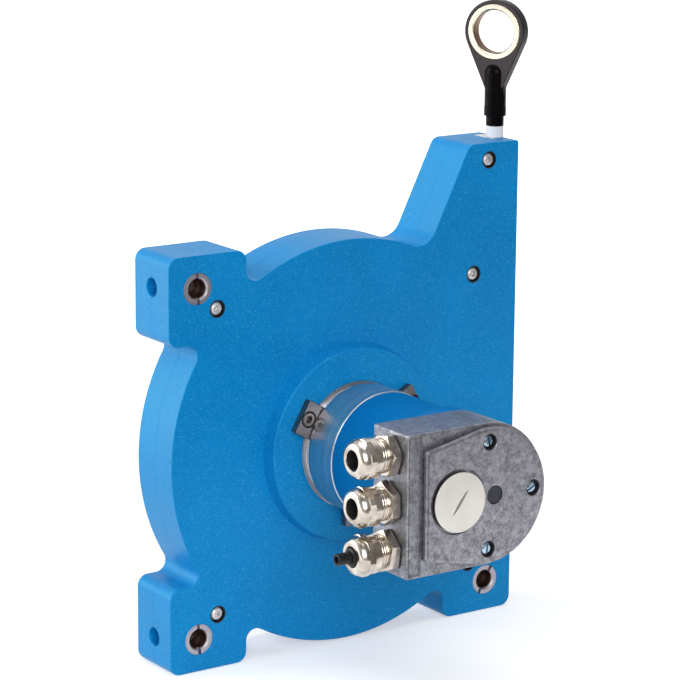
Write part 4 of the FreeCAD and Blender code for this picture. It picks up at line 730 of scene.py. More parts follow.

# %% [markdown]
# The eye is one black piece with two sheens: its turned stem is glossy, and its flat head is matt.
# The head's flat faces are painted a little paler, as the sheen of the light they catch. The finish
# tells them apart by the distance to the stem's axis and to its dome. The brass bush in the head
# has a darker colour painted in its bore, as the shade where little light falls into it.

# %% Finishes of the eye
EYE_TURN = math.radians(-60)
EYE_HALF = 3.25 * MM
STEM_LENGTH = 25.3 * MM
STEM_RADIUS = 5.2 * MM
EYE_BORE = 10 * MM
STEM_GLOSS, HEAD_GLOSS = 0.22, 0.5
eye_low, eye_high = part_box("eye_head")
eye_z = middle("eye_bush", "z")


def black_with_painted_head_sheen(name, base, light, head, half, stem_radius, dome_z):
    """Glossy black stem with a domed end, and a matt flat head whose faces are painted paler as
    sheen.
    """
    material = moulded(name, base, light, STEM_GLOSS, 1200, depth=0.006 * MM, specular=0.1)
    tree = material.node_tree
    shader = tree.nodes["Principled BSDF"]
    shader.inputs["IOR"].default_value = 1.3
    local = about_place(tree, wire_place, -EYE_TURN)
    off_middle = maths(tree, "GREATER_THAN", maths(tree, "ABSOLUTE", local["Y"]), half)
    rise = maths(tree, "MAXIMUM", maths(tree, "SUBTRACT", local["Z"], dome_z))
    apart = length_of(tree, node(tree, "CombineXYZ", {0: local["X"], 1: local["Y"], 2: rise}))
    on_head = maths(tree, "MULTIPLY", off_middle, maths(tree, "GREATER_THAN", apart, stem_radius))
    # The head's flat faces get the paler colour: a painted sheen of the light they catch; the rim
    # stays black.
    black = shader.inputs["Base Color"].links[0].from_socket
    tree.links.new(mixed(tree, on_head, black, head), shader.inputs["Base Color"])
    gloss = spread_value(tree, on_head, STEM_GLOSS, HEAD_GLOSS, 0, 1)
    tree.links.new(gloss, shader.inputs["Roughness"])
    return material


# The paler third colour is the head's painted sheen.
eye_black = black_with_painted_head_sheen(
    "eye black", colour(8, 6, 8), colour(16, 13, 16), colour(74, 68, 70), EYE_HALF - 0.1 * MM,
    STEM_RADIUS + 0.05 * MM, eye_low.z + STEM_LENGTH - STEM_RADIUS,
)
# The bush's colours are a pale cream rather than brass yellow: painted light, for a face lit nearly
# white.
eye_brass = lathed(
    "eye brass", colour(255, 249, 232), colour(244, 228, 190), (wire_x, wire_y, eye_z), 0.3,
    # The bush's bore is painted darker as shade.
    turn=-EYE_TURN, bore=(EYE_BORE + 0.3 * MM, colour(96, 58, 20)),
)
NODE_FINISHES[eye_brass] = ("eye_bush",)
NODE_FINISHES[eye_black] = ("eye_head", "ferrule")
for material, names in NODE_FINISHES.items():
    for name in names:
        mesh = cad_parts[name].data
        mesh.materials.clear()
        mesh.materials.append(material)
print("finished CAD nodes", sum(len(names) for names in NODE_FINISHES.values()))

# %% [markdown]
# Housing. Two shells meet at a parting plane. The outline is a circle about the drum with three
# square lugs and a tower for the wire outlet, joined by small hollow fillets. Each shell is
# hollow, because a drum turns inside, and each hole has a small bevel at its mouth.

# %% Outline of the housing
CORNER = 5 * MM
TOWER_WIDTH = 28.4 * MM
TOWER_LEAN = 26.4
TOWER_EDGE = 1.5 * MM
VALLEY = 10 * MM
LUG_SIDE = 40 * MM
SIDE_FOOT = 9 * MM
case_radius = half_width - 1 * MM
lug_inner = half_width - LUG_SIDE
tower_left = half_width - TOWER_WIDTH


def rotated(points, angle):
    turn = math.radians(angle)
    return [
        (x * math.cos(turn) - z * math.sin(turn), x * math.sin(turn) + z * math.cos(turn))
        for x, z in points
    ]


def lug_path():
    """Outline of the upper left lug, from the round part and back to it."""
    notch = lug_inner - CORNER
    reach = math.sqrt((case_radius + CORNER) ** 2 - notch ** 2)
    lean = math.degrees(math.atan2(notch, reach))
    corner = half_width - CORNER
    return [
        *arc((-notch, reach), CORNER, lean - 90, -180),
        *arc((-lug_inner - CORNER, corner), CORNER, 0, 90),
        *arc((-corner, corner), CORNER, 90, 180),
        *arc((-corner, lug_inner + CORNER), CORNER, 180, 270),
        *arc((-reach, notch), CORNER, 90, -lean),
    ]


def tower_path():
    """Outline of the tower, from its foot at the right to the round part."""
    lean = math.radians(TOWER_LEAN)
    across = Vector((-math.cos(lean), math.sin(lean)))
    upward = Vector((math.sin(lean), math.cos(lean)))
    top = Vector((tower_left, tower_top))
    side = top.dot(across) + VALLEY
    rise = math.sqrt((case_radius + VALLEY) ** 2 - side ** 2)
    centre = across * side + upward * rise
    start = math.degrees(math.atan2(centre.y, centre.x))
    corner = (
        tower_left + CORNER * math.tan(math.radians(90 - TOWER_LEAN) / 2), tower_top - CORNER
    )
    return [
        (half_width, -SIDE_FOOT),
        *arc((half_width - TOWER_EDGE, tower_top - TOWER_EDGE), TOWER_EDGE, 0, 90),
        *arc(corner, CORNER, 90, 180 - TOWER_LEAN),
        *arc(centre, VALLEY, -TOWER_LEAN, start - 180, 12),
    ], start


def round_part(start, end):
    """Points of the round part between two angles, without its ends."""
    count = max(2, round((end - start) / 2))
    return arc((0, 0), case_radius, start, end, count)[1:-1]


def angle_of(point):
    return math.degrees(math.atan2(point[1], point[0])) % 360


housing_outline, last = tower_path()
for turn in (0, 90, 180):
    lug = rotated(lug_path(), turn)
    housing_outline += round_part(last, angle_of(lug[0])) + lug
    last = angle_of(lug[-1])
foot_angle = 360 - math.degrees(math.asin(SIDE_FOOT / case_radius))
housing_outline += round_part(last, foot_angle) + arc((0, 0), case_radius, foot_angle, 360)[:1]
print("outline points", len(housing_outline))

# %% [markdown]
# The holes are cut one by one from lists of places. Their sizes come from what sits in them.

# %% Sizes and holes of the shells
flange_low, flange_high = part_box("encoder_flange")
guide_low, guide_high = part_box("wire_guide")
GAP = 0.05 * MM
WALL = 3 * MM
EDGE = 0.5 * MM
PARTING_EDGE = 0.15 * MM
SEAT_RADIUS = 4.05 * MM
HEAD_HEIGHT = 3 * MM
HEAD_RADIUS = 2.9 * MM
SCREW_BORE = 1.55 * MM
SCREW_BORE_DEPTH = 7.55 * MM
CLAMP_SCREW_BORE = 2.05 * MM
SIDE_BORE = 4.25 * MM
SIDE_BORE_DEPTH = 6.5 * MM
REAR_BEARING_SEAT = 9.05 * MM
FRONT_BEARING_SEAT = 8.05 * MM
FRONT_SHAFT_BORE = 6.5 * MM
seat_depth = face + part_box("housing_screws")[0].y + HEAD_HEIGHT
flange_rear = -flange_high.y
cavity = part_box("wire_drum")[1].x + 1 * MM
screw_offset = half_width - 24.9 * MM
screw_places = [(x * screw_offset, z * screw_offset) for x in (-1, 1) for z in (-1, 1)]
screw_places.append((half_width - 17 * MM, tower_top - 8 * MM))
sleeve_places = [(-sleeve_offset, sleeve_offset), (-sleeve_offset, -sleeve_offset),
                 (sleeve_offset, -sleeve_offset)]
CLAMP_CIRCLE = 33 * MM
CLAMP_TURNS = (150, 30, 270)
clamp_places = [
    (CLAMP_CIRCLE * math.cos(math.radians(turn)), CLAMP_CIRCLE * math.sin(math.radians(turn)))
    for turn in CLAMP_TURNS
]


def shell_cutters(near, far):
    """Cutters that both shells share, between two depths."""
    over = 0.5 * MM
    cutters = [hole(x, z, sleeve_radius + GAP, near - over, far, 0.25 * MM)
               for x, z in sleeve_places]
    for z in (sleeve_offset, -sleeve_offset):
        cutters.append(hole(parting, z, SIDE_BORE, half_width - SIDE_BORE_DEPTH, half_width,
                            0.3 * MM, "left"))
    margin = wire_x - guide_low.x
    cutters.append(slab((guide_low.x - 2 * MM, 0), (guide_high.x - 1 * MM, guide_low.z),
                        -wire_y - margin, -wire_y + margin))
    cutters.append(slab((guide_low.x - GAP, guide_low.z - GAP),
                        (guide_high.x + GAP, tower_top + over),
                        -guide_high.y - GAP, -guide_low.y + GAP))
    return cutters

# %% Rear shell
rear = extruded("housing_rear", housing_outline, 0, parting, rim=PARTING_EDGE, near_rim=EDGE)
cut(rear, rod(cavity, WALL, parting + MM, segments=160))
cut(rear, *shell_cutters(-0.3 * MM, parting))
cut(rear, *[hole(x, z, SCREW_BORE, parting - SCREW_BORE_DEPTH, parting, 0.1 * MM)
            for x, z in screw_places])
cut(rear, hole(0, 0, REAR_BEARING_SEAT, WALL - 1.55 * MM, WALL, 0.1 * MM))
finish(rear, housing_blue, "housing", ("rear_shell",))

# %% Front shell
BOSS_RADIUS = 44.9 * MM
BOSS_FOOT = 1.2 * MM
BOSS_EDGE = 0.9 * MM
front = extruded("housing_front", housing_outline, parting, face, rim=EDGE, near_rim=PARTING_EDGE)
boss_profile = [
    (face - 1 * MM, 0), (face - 1 * MM, BOSS_RADIUS + BOSS_FOOT),
    *[(face + BOSS_FOOT - out, BOSS_RADIUS + BOSS_FOOT - along)
      for out, along in arc((0, 0), BOSS_FOOT, 90, 0, 6)],
    *[(boss - BOSS_EDGE + along, BOSS_RADIUS - BOSS_EDGE + out)
      for along, out in arc((0, 0), BOSS_EDGE, 90, 0, 6)],
    (boss, 0),
]
unite(front, turned("boss", boss_profile, segments=192))
cut(front, rod(cavity, parting - MM, face - WALL, segments=160))
cut(front, *shell_cutters(parting, face))
for x, z in screw_places:
    cut(front, hole(x, z, SEAT_RADIUS, face - seat_depth, face, 0.2 * MM))
    cut(front, hole(x, z, SCREW_BORE, parting - MM, face - seat_depth, 0))
bearing_rear = flange_rear - 5 * MM
cut(front, hole(0, 0, flange_high.x + GAP, flange_rear, boss, 0.25 * MM, segments=128))
cut(front, hole(0, 0, FRONT_BEARING_SEAT, bearing_rear, flange_rear, 0))
cut(front, hole(0, 0, FRONT_SHAFT_BORE, face - WALL - MM, bearing_rear, 0))
clamp_screw_tip = -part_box("clamp_screws")[1].y - GAP
cut(front, *[hole(x, z, CLAMP_SCREW_BORE, clamp_screw_tip, boss, 0.1 * MM)
             for x, z in clamp_places])
finish(front, housing_blue, "housing", ("front_shell",))

# %% [markdown]
# Threads are one small node tree: a spiral with a small six-sided section swept along it. It is
# set for each place and turned into a plain mesh. A second tree puts a screw on each of a list of
# points and turns it to the point's own angle and a small seeded rest, as no two screws stop alike.

# %% Thread tree and screw tree
def new_tree(name, **inputs):
    """Start a tree with named inputs, and give back its input sockets too."""
    tree = bpy.data.node_groups.new(name, "GeometryNodeTree")
    for key, kind in inputs.items():
        tree.interface.new_socket(name=key, in_out="INPUT", socket_type="NodeSocket" + kind)
    tree.interface.new_socket(name="Geometry", in_out="OUTPUT", socket_type="NodeSocketGeometry")
    return tree, node(tree, "NodeGroupInput", outlet=None)


def end_tree(tree, given, shape):
    """Make a shape real, give it the finish and send it out."""
    real = node(tree, "GeometryNodeRealizeInstances", {"Geometry": shape})
    skin = node(tree, "GeometryNodeSetMaterial", {"Geometry": real, "Material": given["Finish"]})
    node(tree, "NodeGroupOutput", {"Geometry": skin}, None)
    return tree


TOOTH_SIDES = 6
STEPS_A_TURN = 40
STOP = 0.05


def thread_tree():
    """Sweep a small six-sided section along a spiral."""
    tree, given = new_tree("thread", Turns="Float", Radius="Float", Length="Float", Tooth="Float",
                           Finish="Material")
    spiral = node(tree, "GeometryNodeCurveSpiral", {
        "Resolution": STEPS_A_TURN, "Rotations": given["Turns"], "Start Radius": given["Radius"],
        "End Radius": given["Radius"], "Height": given["Length"],
    })
    section = node(tree, "GeometryNodeCurvePrimitiveCircle",
                   {"Resolution": TOOTH_SIDES, "Radius": given["Tooth"]})
    return end_tree(tree, given, node(tree, "GeometryNodeCurveToMesh", {
        "Curve": spiral, "Profile Curve": section, "Fill Caps": True,
    }))


def screw_tree():
    """Put a screw on each point, at the point's angle and a rest of up to STOP radians."""
    tree, given = new_tree("screws on points", Geometry="Geometry", Screw="Object", Seed="Int",
                           Finish="Material")
    shape = node(tree, "GeometryNodeObjectInfo", {"Object": given["Screw"], "As Instance": True},
                 "Geometry")
    rest = node(tree, "FunctionNodeRandomValue", {2: -STOP, 3: STOP, "Seed": given["Seed"]}, 1,
                data_type="FLOAT")
    kept = node(tree, "GeometryNodeInputNamedAttribute", {"Name": "turn"}, "Attribute",
                data_type="FLOAT")
    angle = node(tree, "CombineXYZ", {"Y": maths(tree, "ADD", kept, rest)})
    return end_tree(tree, given, node(tree, "GeometryNodeInstanceOnPoints", {
        "Points": given["Geometry"], "Instance": shape, "Rotation": angle,
    }))


THREADS = thread_tree()
SCREWS = screw_tree()
print("trees", THREADS.name, "and", SCREWS.name)


# %% Meshes from the trees
def from_tree(name, tree, points=(), turns=(), **values):
    """Make a plain mesh object from a tree, its points with their turns and its named inputs."""
    mesh = bpy.data.meshes.new(name)
    mesh.from_pydata([tuple(point) for point in points], [], [])
    if turns:
        kept = mesh.attributes.new("turn", "FLOAT", "POINT")
        kept.data.foreach_set("value", [math.radians(turn) for turn in turns])
    piece = new_object(name, mesh)
    modifier = piece.modifiers.new(name, "NODES")
    modifier.node_group = tree
    for item in tree.interface.items_tree:
        if item.in_out == "INPUT" and item.name in values:
            modifier[item.identifier] = values[item.name]
    apply_modifiers(piece)
    return piece


def thread(name, place, axis, start, length, radius, tooth, pitch, material):
    """Make a helical thread about an axis, whose tooth is half sunk in the wall."""
    piece = from_tree(name, THREADS, Turns=length / pitch, Radius=radius, Length=length,
                      Tooth=tooth, Finish=material)
    across, up, along = AXES[axis]
    turn = Matrix((across, up, along)).transposed().to_4x4()
    piece.data.transform(Matrix.Translation(Vector(place) + along * start) @ turn)
    tidy_mesh(piece.data, 60)
    return piece


def join(name, pieces):
    """Put several objects into one plain mesh."""
    work = bmesh.new()
    for piece in pieces:
        work.from_mesh(piece.data)
        bpy.data.objects.remove(piece)
    for flat in work.faces:
        flat.material_index = 0
    mesh = bpy.data.meshes.new(name)
    work.to_mesh(mesh)
    work.free()
    return new_object(name, mesh)


# %% [markdown]
# Mounting sleeves: turned steel with a thread inside and a driver slot across the front end.

# %% Mounting sleeves
SLOT_TURNS = (3, 3, -30)
SLEEVE_NAMES = ("upper_left", "lower_left", "lower_right")
BORE = 4.25 * MM
SLOT_HALF = 0.75 * MM
near, far = SLEEVE_SINK, face - SLEEVE_SINK
slot_end = sleeve_radius + MM
for name, (x, z), slot_turn in zip(SLEEVE_NAMES, sleeve_places, SLOT_TURNS):
    sleeve = turned(f"sleeve_{name}", [
        (near, BORE + 0.8 * MM), (near, sleeve_radius), (far, sleeve_radius),
        (far, BORE + 0.9 * MM), (far - 0.9 * MM, BORE), (near + 0.8 * MM, BORE),
    ], (x, 0, z), radius=0.2 * MM, segments=80)
    slot = slab((-SLOT_HALF, -slot_end), (SLOT_HALF, slot_end), far - 2.2 * MM, far + MM)
    slot_lean = Matrix.Rotation(math.radians(-slot_turn), 4, "Y")
    slot.data.transform(Matrix.Translation((x, 0, z)) @ slot_lean)
    cut(sleeve, slot)
    coil = thread("coil", (x, 0, z), "front", 1.6 * MM, far - 5.2 * MM, BORE + 0.22 * MM,
                  0.42 * MM, 1.5 * MM, insert_steel)
    # The sleeve's threaded bore is painted a dark brown as shade in the deep hole.
    turned_steel = lathed(
        f"turned steel {name}", colour(186, 182, 190), colour(150, 146, 155), (x, 0, z),
        0.42, 0.5 * MM, bore=(BORE + 0.3 * MM, colour(124, 102, 94)),
    )
    sleeve = join(f"sleeve_{name}", [sleeve, coil])
    finish(sleeve, turned_steel, "housing", (f"mounting_sleeve_{name}",))

# %% [markdown]
# Screws. A lobed driver recess is an outline whose radius swings six times round, and a hexagon
# socket and a plain slot are cut the same way.

# %% Screws
LOBES = 6
LOBED_POINTS = 48


def lobed(radius, swing):
    """Outline whose radius swings in and out on its way round."""
    angles = [2 * math.pi * number / LOBED_POINTS for number in range(LOBED_POINTS)]
    outs = [radius + swing * math.cos(LOBES * angle) for angle in angles]
    return [(out * math.cos(angle), out * math.sin(angle)) for out, angle in zip(outs, angles)]


def screw(profile, recess, near, far, radius=0.3 * MM):
    """Make one screw about the origin with a driver recess in its head."""
    body = turned("screw", profile, radius=radius, segments=48)
    return cut(body, extruded("cutter", recess, near, far))


def place_screws(name, master, places, turns, depth, seed, material, replaced):
    """Put a screw on each place, turned to the angle at which it stopped."""
    points = [(x, -depth, z) for x, z in places]
    piece = from_tree(name, SCREWS, points, turns, Screw=master, Seed=seed, Finish=material)
    piece.data.attributes.remove(piece.data.attributes["turn"])
    tidy_mesh(piece.data, 35)
    bpy.data.objects.remove(master)
    finish(piece, material, "housing", (replaced,))


def shade_rings_in_recesses(name, places, radius, near, far):
    """Put a thin black ring against the wall of each screw recess, as painted shade in it."""
    inner = radius - 0.45 * MM
    rings = [
        turned("ring", [(near, inner), (near, radius), (far, radius), (far, inner)], (x, 0, z),
               segments=48, radius=0.1 * MM)
        for x, z in places
    ]
    finish(join(name, rings), gasket_black, "housing")

# %% Housing screws
head = screw([
    (-16 * MM, 0), (-16 * MM, 0.9 * MM), (-15.2 * MM, 1.5 * MM), (0, 1.5 * MM), (0, HEAD_RADIUS),
    (2.2 * MM, HEAD_RADIUS, 0.5 * MM), (2.75 * MM, 2.4 * MM, 0.5 * MM),
    (HEAD_HEIGHT, 1.6 * MM, 0.3 * MM), (HEAD_HEIGHT, 0),
], lobed(1.5 * MM, 0.35 * MM), 0.8 * MM, 4 * MM)
place_screws("screws_housing", head, screw_places, (5, 22, 40, 12, 50), face - seat_depth, 3,
             screw_steel, "housing_screws")
# Black rings in the screw recesses stand for the shade inside them: painted shade.
shade_rings_in_recesses("housing_recess_rings", screw_places, SEAT_RADIUS - 0.01 * MM,
             face - seat_depth + 0.02 * MM, face - 0.25 * MM)

# %% [markdown]
# Wire outlet: a white guide block with a ceramic bush, a soft bumper, the crimped wire end and the
# eye that swivels on it. The eye is a turned stem with a domed top and a flat head, and a brass
# bush pressed into the head. It is drawn facing forward and then turned about the wire.

# %% Guide block
guide_outline = rounded(corners((guide_low.x, guide_low.z), (guide_high.x, tower_top)), 0.25 * MM)
guide = extruded("guide_block", guide_outline, -guide_high.y, -guide_low.y, rim=0.3 * MM)
bush_low, bush_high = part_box("guide_bush")
bush_radius = half_size("guide_bush", "x")
cut(guide, hole(wire_x, wire_y, bush_radius + 0.01 * MM, bush_low.z, tower_top, 0.3 * MM, "up"))
cut(guide, hole(wire_x, wire_y, 2.1 * MM, guide_low.z - MM, bush_low.z, 0, "up"))
finish(guide, guide_white, "housing", ("wire_guide",))

# %% Ceramic bush
BUSH_BORE = 0.75 * MM
WIRE_BORE = 0.45 * MM
bush = turned("guide_bush_ceramic", [
    (bush_low.z, BUSH_BORE + 0.5 * MM), (bush_low.z, bush_radius), (bush_high.z, bush_radius),
    (bush_high.z, BUSH_BORE + 1 * MM, 0.6 * MM), (bush_high.z - 1 * MM, BUSH_BORE, 0.6 * MM),
    (bush_low.z + 0.5 * MM, BUSH_BORE),
], wire_place, "up", 48, 0.15 * MM)
finish(bush, ceramic_white, "housing", ("guide_bush",))

# %% Bumper
bumper_low, bumper_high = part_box("bumper")
bumper_radius = half_size("bumper", "x")
bumper = turned("bumper_soft", [
    (bumper_low.z, WIRE_BORE), (bumper_low.z, bumper_radius, 0.5 * MM),
    (bumper_high.z, bumper_radius, 0.5 * MM), (bumper_high.z, WIRE_BORE),
], wire_place, "up", 72, 0.1 * MM)
finish(bumper, bumper_white, "wire_end", ("bumper",))

# %% Ferrule
ferrule_low, ferrule_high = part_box("ferrule")
ferrule_radius = half_size("ferrule", "x")
neck_radius = ferrule_radius - 0.9 * MM
stem_low = eye_low.z
ferrule = turned("ferrule_black", [
    (ferrule_low.z, WIRE_BORE), (ferrule_low.z, ferrule_radius, 0.45 * MM),
    (stem_low - 0.2 * MM, ferrule_radius), (stem_low - 0.2 * MM, neck_radius),
    (stem_low + 2.1 * MM, neck_radius), (stem_low + 2.1 * MM, ferrule_radius),
    (ferrule_high.z, ferrule_radius, 0.4 * MM), (ferrule_high.z, 0),
    (ferrule_high.z - 1 * MM, 0), (ferrule_high.z - 1 * MM, WIRE_BORE),
], wire_place, "up", 72, 0.1 * MM)
finish(ferrule, eye_black, "wire_end", ("ferrule",))

# %% [markdown]
# The stem carries a thin moulding line and a small foot ring. Its domed end stands out of the
# flat head, so the head's taper shows an arch around it.

# %% Swivel eye
NECK_HALF = 3.6 * MM
BUSH_SEAT = 12.75 * MM
eye_radius = eye_high.z - eye_z
stem_top = stem_low + STEM_LENGTH
neck_z = stem_low + 11.5 * MM
waist = STEM_RADIUS - 0.15 * MM
line = STEM_RADIUS - 0.25 * MM
room_low, room_high = stem_low + 2 * MM, ferrule_high.z + 0.2 * MM
room_radius = ferrule_radius + 0.1 * MM
stem = turned("eye_black_head", [
    (stem_low, neck_radius + 0.1 * MM), (stem_low, STEM_RADIUS, 0.35 * MM),
    (stem_low + 4.2 * MM, STEM_RADIUS, 0.1 * MM), (stem_low + 4.3 * MM, waist),
    (stem_low + 9.3 * MM, waist), (stem_low + 9.4 * MM, line),
    (stem_low + 9.6 * MM, line), (stem_low + 9.7 * MM, waist),
    *[(stem_top - STEM_RADIUS + along, out) for along, out in arc((0, 0), waist, 90, 4, 10)],
    (stem_top - 0.15 * MM, 0), (room_high, 0), (room_high, room_radius),
    (room_low, room_radius), (room_low, neck_radius + 0.1 * MM),
], axis="up", segments=72)
drop = eye_z - neck_z
reach = math.hypot(drop, NECK_HALF)
lean = math.acos(eye_radius / reach) - math.atan2(drop, NECK_HALF)
lean_angle = math.degrees(lean)
head_outline = [
    (-NECK_HALF, neck_z), (NECK_HALF, neck_z),
    *arc((0, eye_z), eye_radius, lean_angle, 180 - lean_angle, 60),
]
plate = extruded("plate", head_outline, -EYE_HALF, EYE_HALF, rim=0.45 * MM)
unite(stem, plate)
cut(stem, rod(room_radius, room_high, room_low, axis="up", segments=72))
cut(stem, hole(0, eye_z, BUSH_SEAT, -EYE_HALF - MM, EYE_HALF, 0.15 * MM, segments=128))
eye_place = Matrix.Translation(wire_place) @ Matrix.Rotation(EYE_TURN, 4, "Z")
stem.data.transform(eye_place)
finish(stem, eye_black, "eye", ("eye_head",))

# %% Brass bush
RING_HALF = EYE_HALF + 0.2 * MM
BEVEL = 0.8 * MM
ring_outer = BUSH_SEAT - 0.01 * MM
ring = turned("eye_brass_bush", [
    (-RING_HALF, EYE_BORE + BEVEL), (-RING_HALF, ring_outer), (RING_HALF, ring_outer),
    (RING_HALF, EYE_BORE + BEVEL), (RING_HALF - BEVEL, EYE_BORE), (-RING_HALF + BEVEL, EYE_BORE),
], (0, 0, eye_z), segments=128, radius=0.3 * MM)
ring.data.transform(eye_place)
finish(ring, eye_brass, "eye", ("eye_bush",))

# %% [markdown]
# Encoder: a turned aluminium flange held to the boss by three clamps, and a blue tube that ends
# in a collar under the adapter. Their profiles follow the solids, with rounded edges.

# %% Encoder flange
flange_front = -flange_low.y
tube_low, tube_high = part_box("encoder_sleeve")
tube_rear, tube_front = -tube_high.y, -tube_low.y
ENCODER_BEARING_SEAT = 7.55 * MM
ENCODER_SHAFT_BORE = 5.5 * MM
lip_radius = flange_high.x
collar_radius = tube_high.x
tube_radius = lip_radius - 0.3 * MM
tube_inner = tube_radius - 1.9 * MM
groove_front = boss + 4.2 * MM
flange = turned("flange_turned", [
    (flange_rear, ENCODER_BEARING_SEAT), (flange_rear, lip_radius), (boss, lip_radius),
    (boss, lip_radius - 2 * MM), (groove_front, lip_radius - 2 * MM),
    (groove_front, lip_radius - 0.5 * MM), (groove_front + 0.5 * MM, lip_radius),
    (tube_rear - 0.3 * MM, lip_radius), (tube_rear, lip_radius - 0.3 * MM),
    (tube_rear, tube_inner - GAP), (flange_front, tube_inner - GAP),
    (flange_front, ENCODER_BEARING_SEAT), (tube_rear - 5 * MM, ENCODER_BEARING_SEAT),
    (tube_rear - 5 * MM, ENCODER_SHAFT_BORE), (groove_front + 5 * MM, ENCODER_SHAFT_BORE),
    (groove_front + 5 * MM, ENCODER_BEARING_SEAT),
], segments=160, radius=0.15 * MM)
finish(flange, flange_metal, "housing", ("encoder_flange",))

# %% Encoder tube
collar_rear = tube_front - 8.5 * MM
tube = turned("encoder_tube", [
    (tube_rear, tube_inner), (tube_rear, tube_radius, 0.4 * MM),
    (collar_rear - 1.2 * MM, tube_radius, 0.8 * MM), (collar_rear, collar_radius, 0.8 * MM),
    (tube_front, collar_radius, 0.3 * MM), (tube_front, tube_inner),
], segments=160, radius=0.2 * MM)
finish(tube, encoder_blue, "housing", ("encoder_sleeve",))

# %% Servo clamps
CLAMP_HALF = 8 * MM
CLAMP_THICK = 4 * MM
CLAMP_EDGE = 0.7 * MM
CLAMP_RECESS = 3.8 * MM
clamp_face = boss + CLAMP_THICK
clamp_seat = clamp_face - 2.6 * MM
clamp_inner = lip_radius - 1.5 * MM
clamp_outer = lip_radius + 7.3 * MM
clamp_lean = math.degrees(math.asin(CLAMP_HALF / clamp_inner))
for number, turn in enumerate(CLAMP_TURNS, 1):
    outline = [
        *arc((0, 0), clamp_inner, 90 - clamp_lean, 90 + clamp_lean, 14),
        *arc((-CLAMP_HALF + CLAMP_EDGE, clamp_outer - CLAMP_EDGE), CLAMP_EDGE, 180, 90, 4),
        *arc((CLAMP_HALF - CLAMP_EDGE, clamp_outer - CLAMP_EDGE), CLAMP_EDGE, 90, 0, 4),
    ][::-1]
    clamp = extruded(f"clamp_{number}", outline, boss + 0.02 * MM, clamp_face, rim=0.25 * MM)
    cut(clamp, hole(0, CLAMP_CIRCLE, CLAMP_RECESS, clamp_seat, clamp_face, 0.2 * MM, segments=48))
    cut(clamp, hole(0, CLAMP_CIRCLE, CLAMP_SCREW_BORE, boss - MM, clamp_seat, 0, segments=40))
    clamp.data.transform(Matrix.Rotation(math.radians(90 - turn), 4, "Y"))
    finish(clamp, clamp_bright, "housing", (f"servo_clamp_{number}",))

# %% Clamp screws
socket_screw = screw([
    (-8 * MM, 0), (-8 * MM, 1.5 * MM), (-7.4 * MM, 2 * MM), (0, 2 * MM), (0, 3.3 * MM),
    (2.5 * MM, 3.3 * MM, 0.35 * MM), (2.5 * MM, 1.9 * MM, 0.1 * MM), (2.5 * MM, 0),
], hexagon(1.9 * MM), 0.3 * MM, 4 * MM, 0.2 * MM)
place_screws("screws_clamp", socket_screw, clamp_places, (10, 33, 50), clamp_seat, 5,
             clamp_screw_steel, "clamp_screws")

# %% [markdown]
# Adapter: a cast block with a round right side and a square left side that carries the glands.
# The cap on its front has the same round side and two slopes to a short left edge.

# %% Adapter block
block_low, block_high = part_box("adapter_block")
cap_low, cap_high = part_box("adapter_cap")
adapter_radius = block_high.x
adapter_left = -block_low.x
adapter_front = -block_low.y
adapter_rear = tube_front
WALL_CAST = 3.2 * MM
CAST_EDGE = 0.7 * MM
adapter_outline = [
    *arc((0, 0), adapter_radius, -90, 90, 60),
    *rounded([(0, adapter_radius), (-adapter_left, adapter_radius),
              (-adapter_left, -adapter_radius), (0, -adapter_radius)], 0.9 * MM,
             closed=False)[1:-1],
]
adapter = extruded("adapter_cast", adapter_outline, adapter_rear, adapter_front, rim=CAST_EDGE)
spigot_rear = -block_high.y
cable_way = tube_inner - GAP - WALL_CAST
unite(adapter, rod(tube_inner - GAP, spigot_rear, adapter_rear + MM, segments=120))
chamber = adapter_radius - WALL_CAST
MOUTH_DEPTH = 3.6 * MM
MOUTH_INSET = 1.8 * MM
GLAND_WALL = 6 * MM
floor_depth = adapter_rear + WALL_CAST
cut(adapter, hole(0, 0, cable_way, spigot_rear - MM, floor_depth + MM, 0, segments=120))
cut(adapter, hole(0, 0, chamber, floor_depth, adapter_front, 0, segments=120))
cut(adapter, slab((-adapter_left + GLAND_WALL, -chamber), (0, chamber), floor_depth,
                  adapter_front - MOUTH_DEPTH))
gland_depth = -middle("gland_body_2", "y")
gland_heights = [middle(f"gland_body_{number}", "z") for number in (1, 2, 3)]
GLAND_BORE = 7.6 * MM
for z in gland_heights:
    cut(adapter, hole(gland_depth, z, GLAND_BORE, adapter_left - GLAND_WALL - MM, adapter_left,
                      0.2 * MM, "left"))

# %% Cap outline
cap_radius = cap_high.x
cap_left = -cap_low.x
CAP_HALF = 24 * MM
cap_rear = adapter_front + 0.55 * MM
cap_front = -cap_low.y
cap_reach = math.hypot(cap_left, CAP_HALF)
cap_lean = 180 - math.degrees(math.atan2(CAP_HALF, cap_left) + math.acos(cap_radius / cap_reach))


def cap_outline(inset):
    """Outline of the cap at a distance inside its edge."""
    radius = cap_radius - inset
    left = cap_left - inset
    lean = math.radians(cap_lean)
    height = (radius + left * math.cos(lean)) / math.sin(lean)
    return [
        *arc((0, 0), radius, -cap_lean, cap_lean, 60),
        *rounded([(radius * math.cos(lean), radius * math.sin(lean)), (-left, height),
                  (-left, -height), (radius * math.cos(lean), -radius * math.sin(lean))],
                 0.8 * MM, closed=False)[1:-1],
    ]


# %% Mouth and bare strip of the adapter
cut(adapter, extruded("cutter", cap_outline(MOUTH_INSET), adapter_front - MOUTH_DEPTH,
                      adapter_front + MM))


def strip_corners(inset, height_inset):
    """Lower and upper corner of the bare strip beside the cap, at a distance inside its sides."""
    height = adapter_radius - height_inset
    return (-adapter_left + inset, -height), (-cap_left - inset, height)


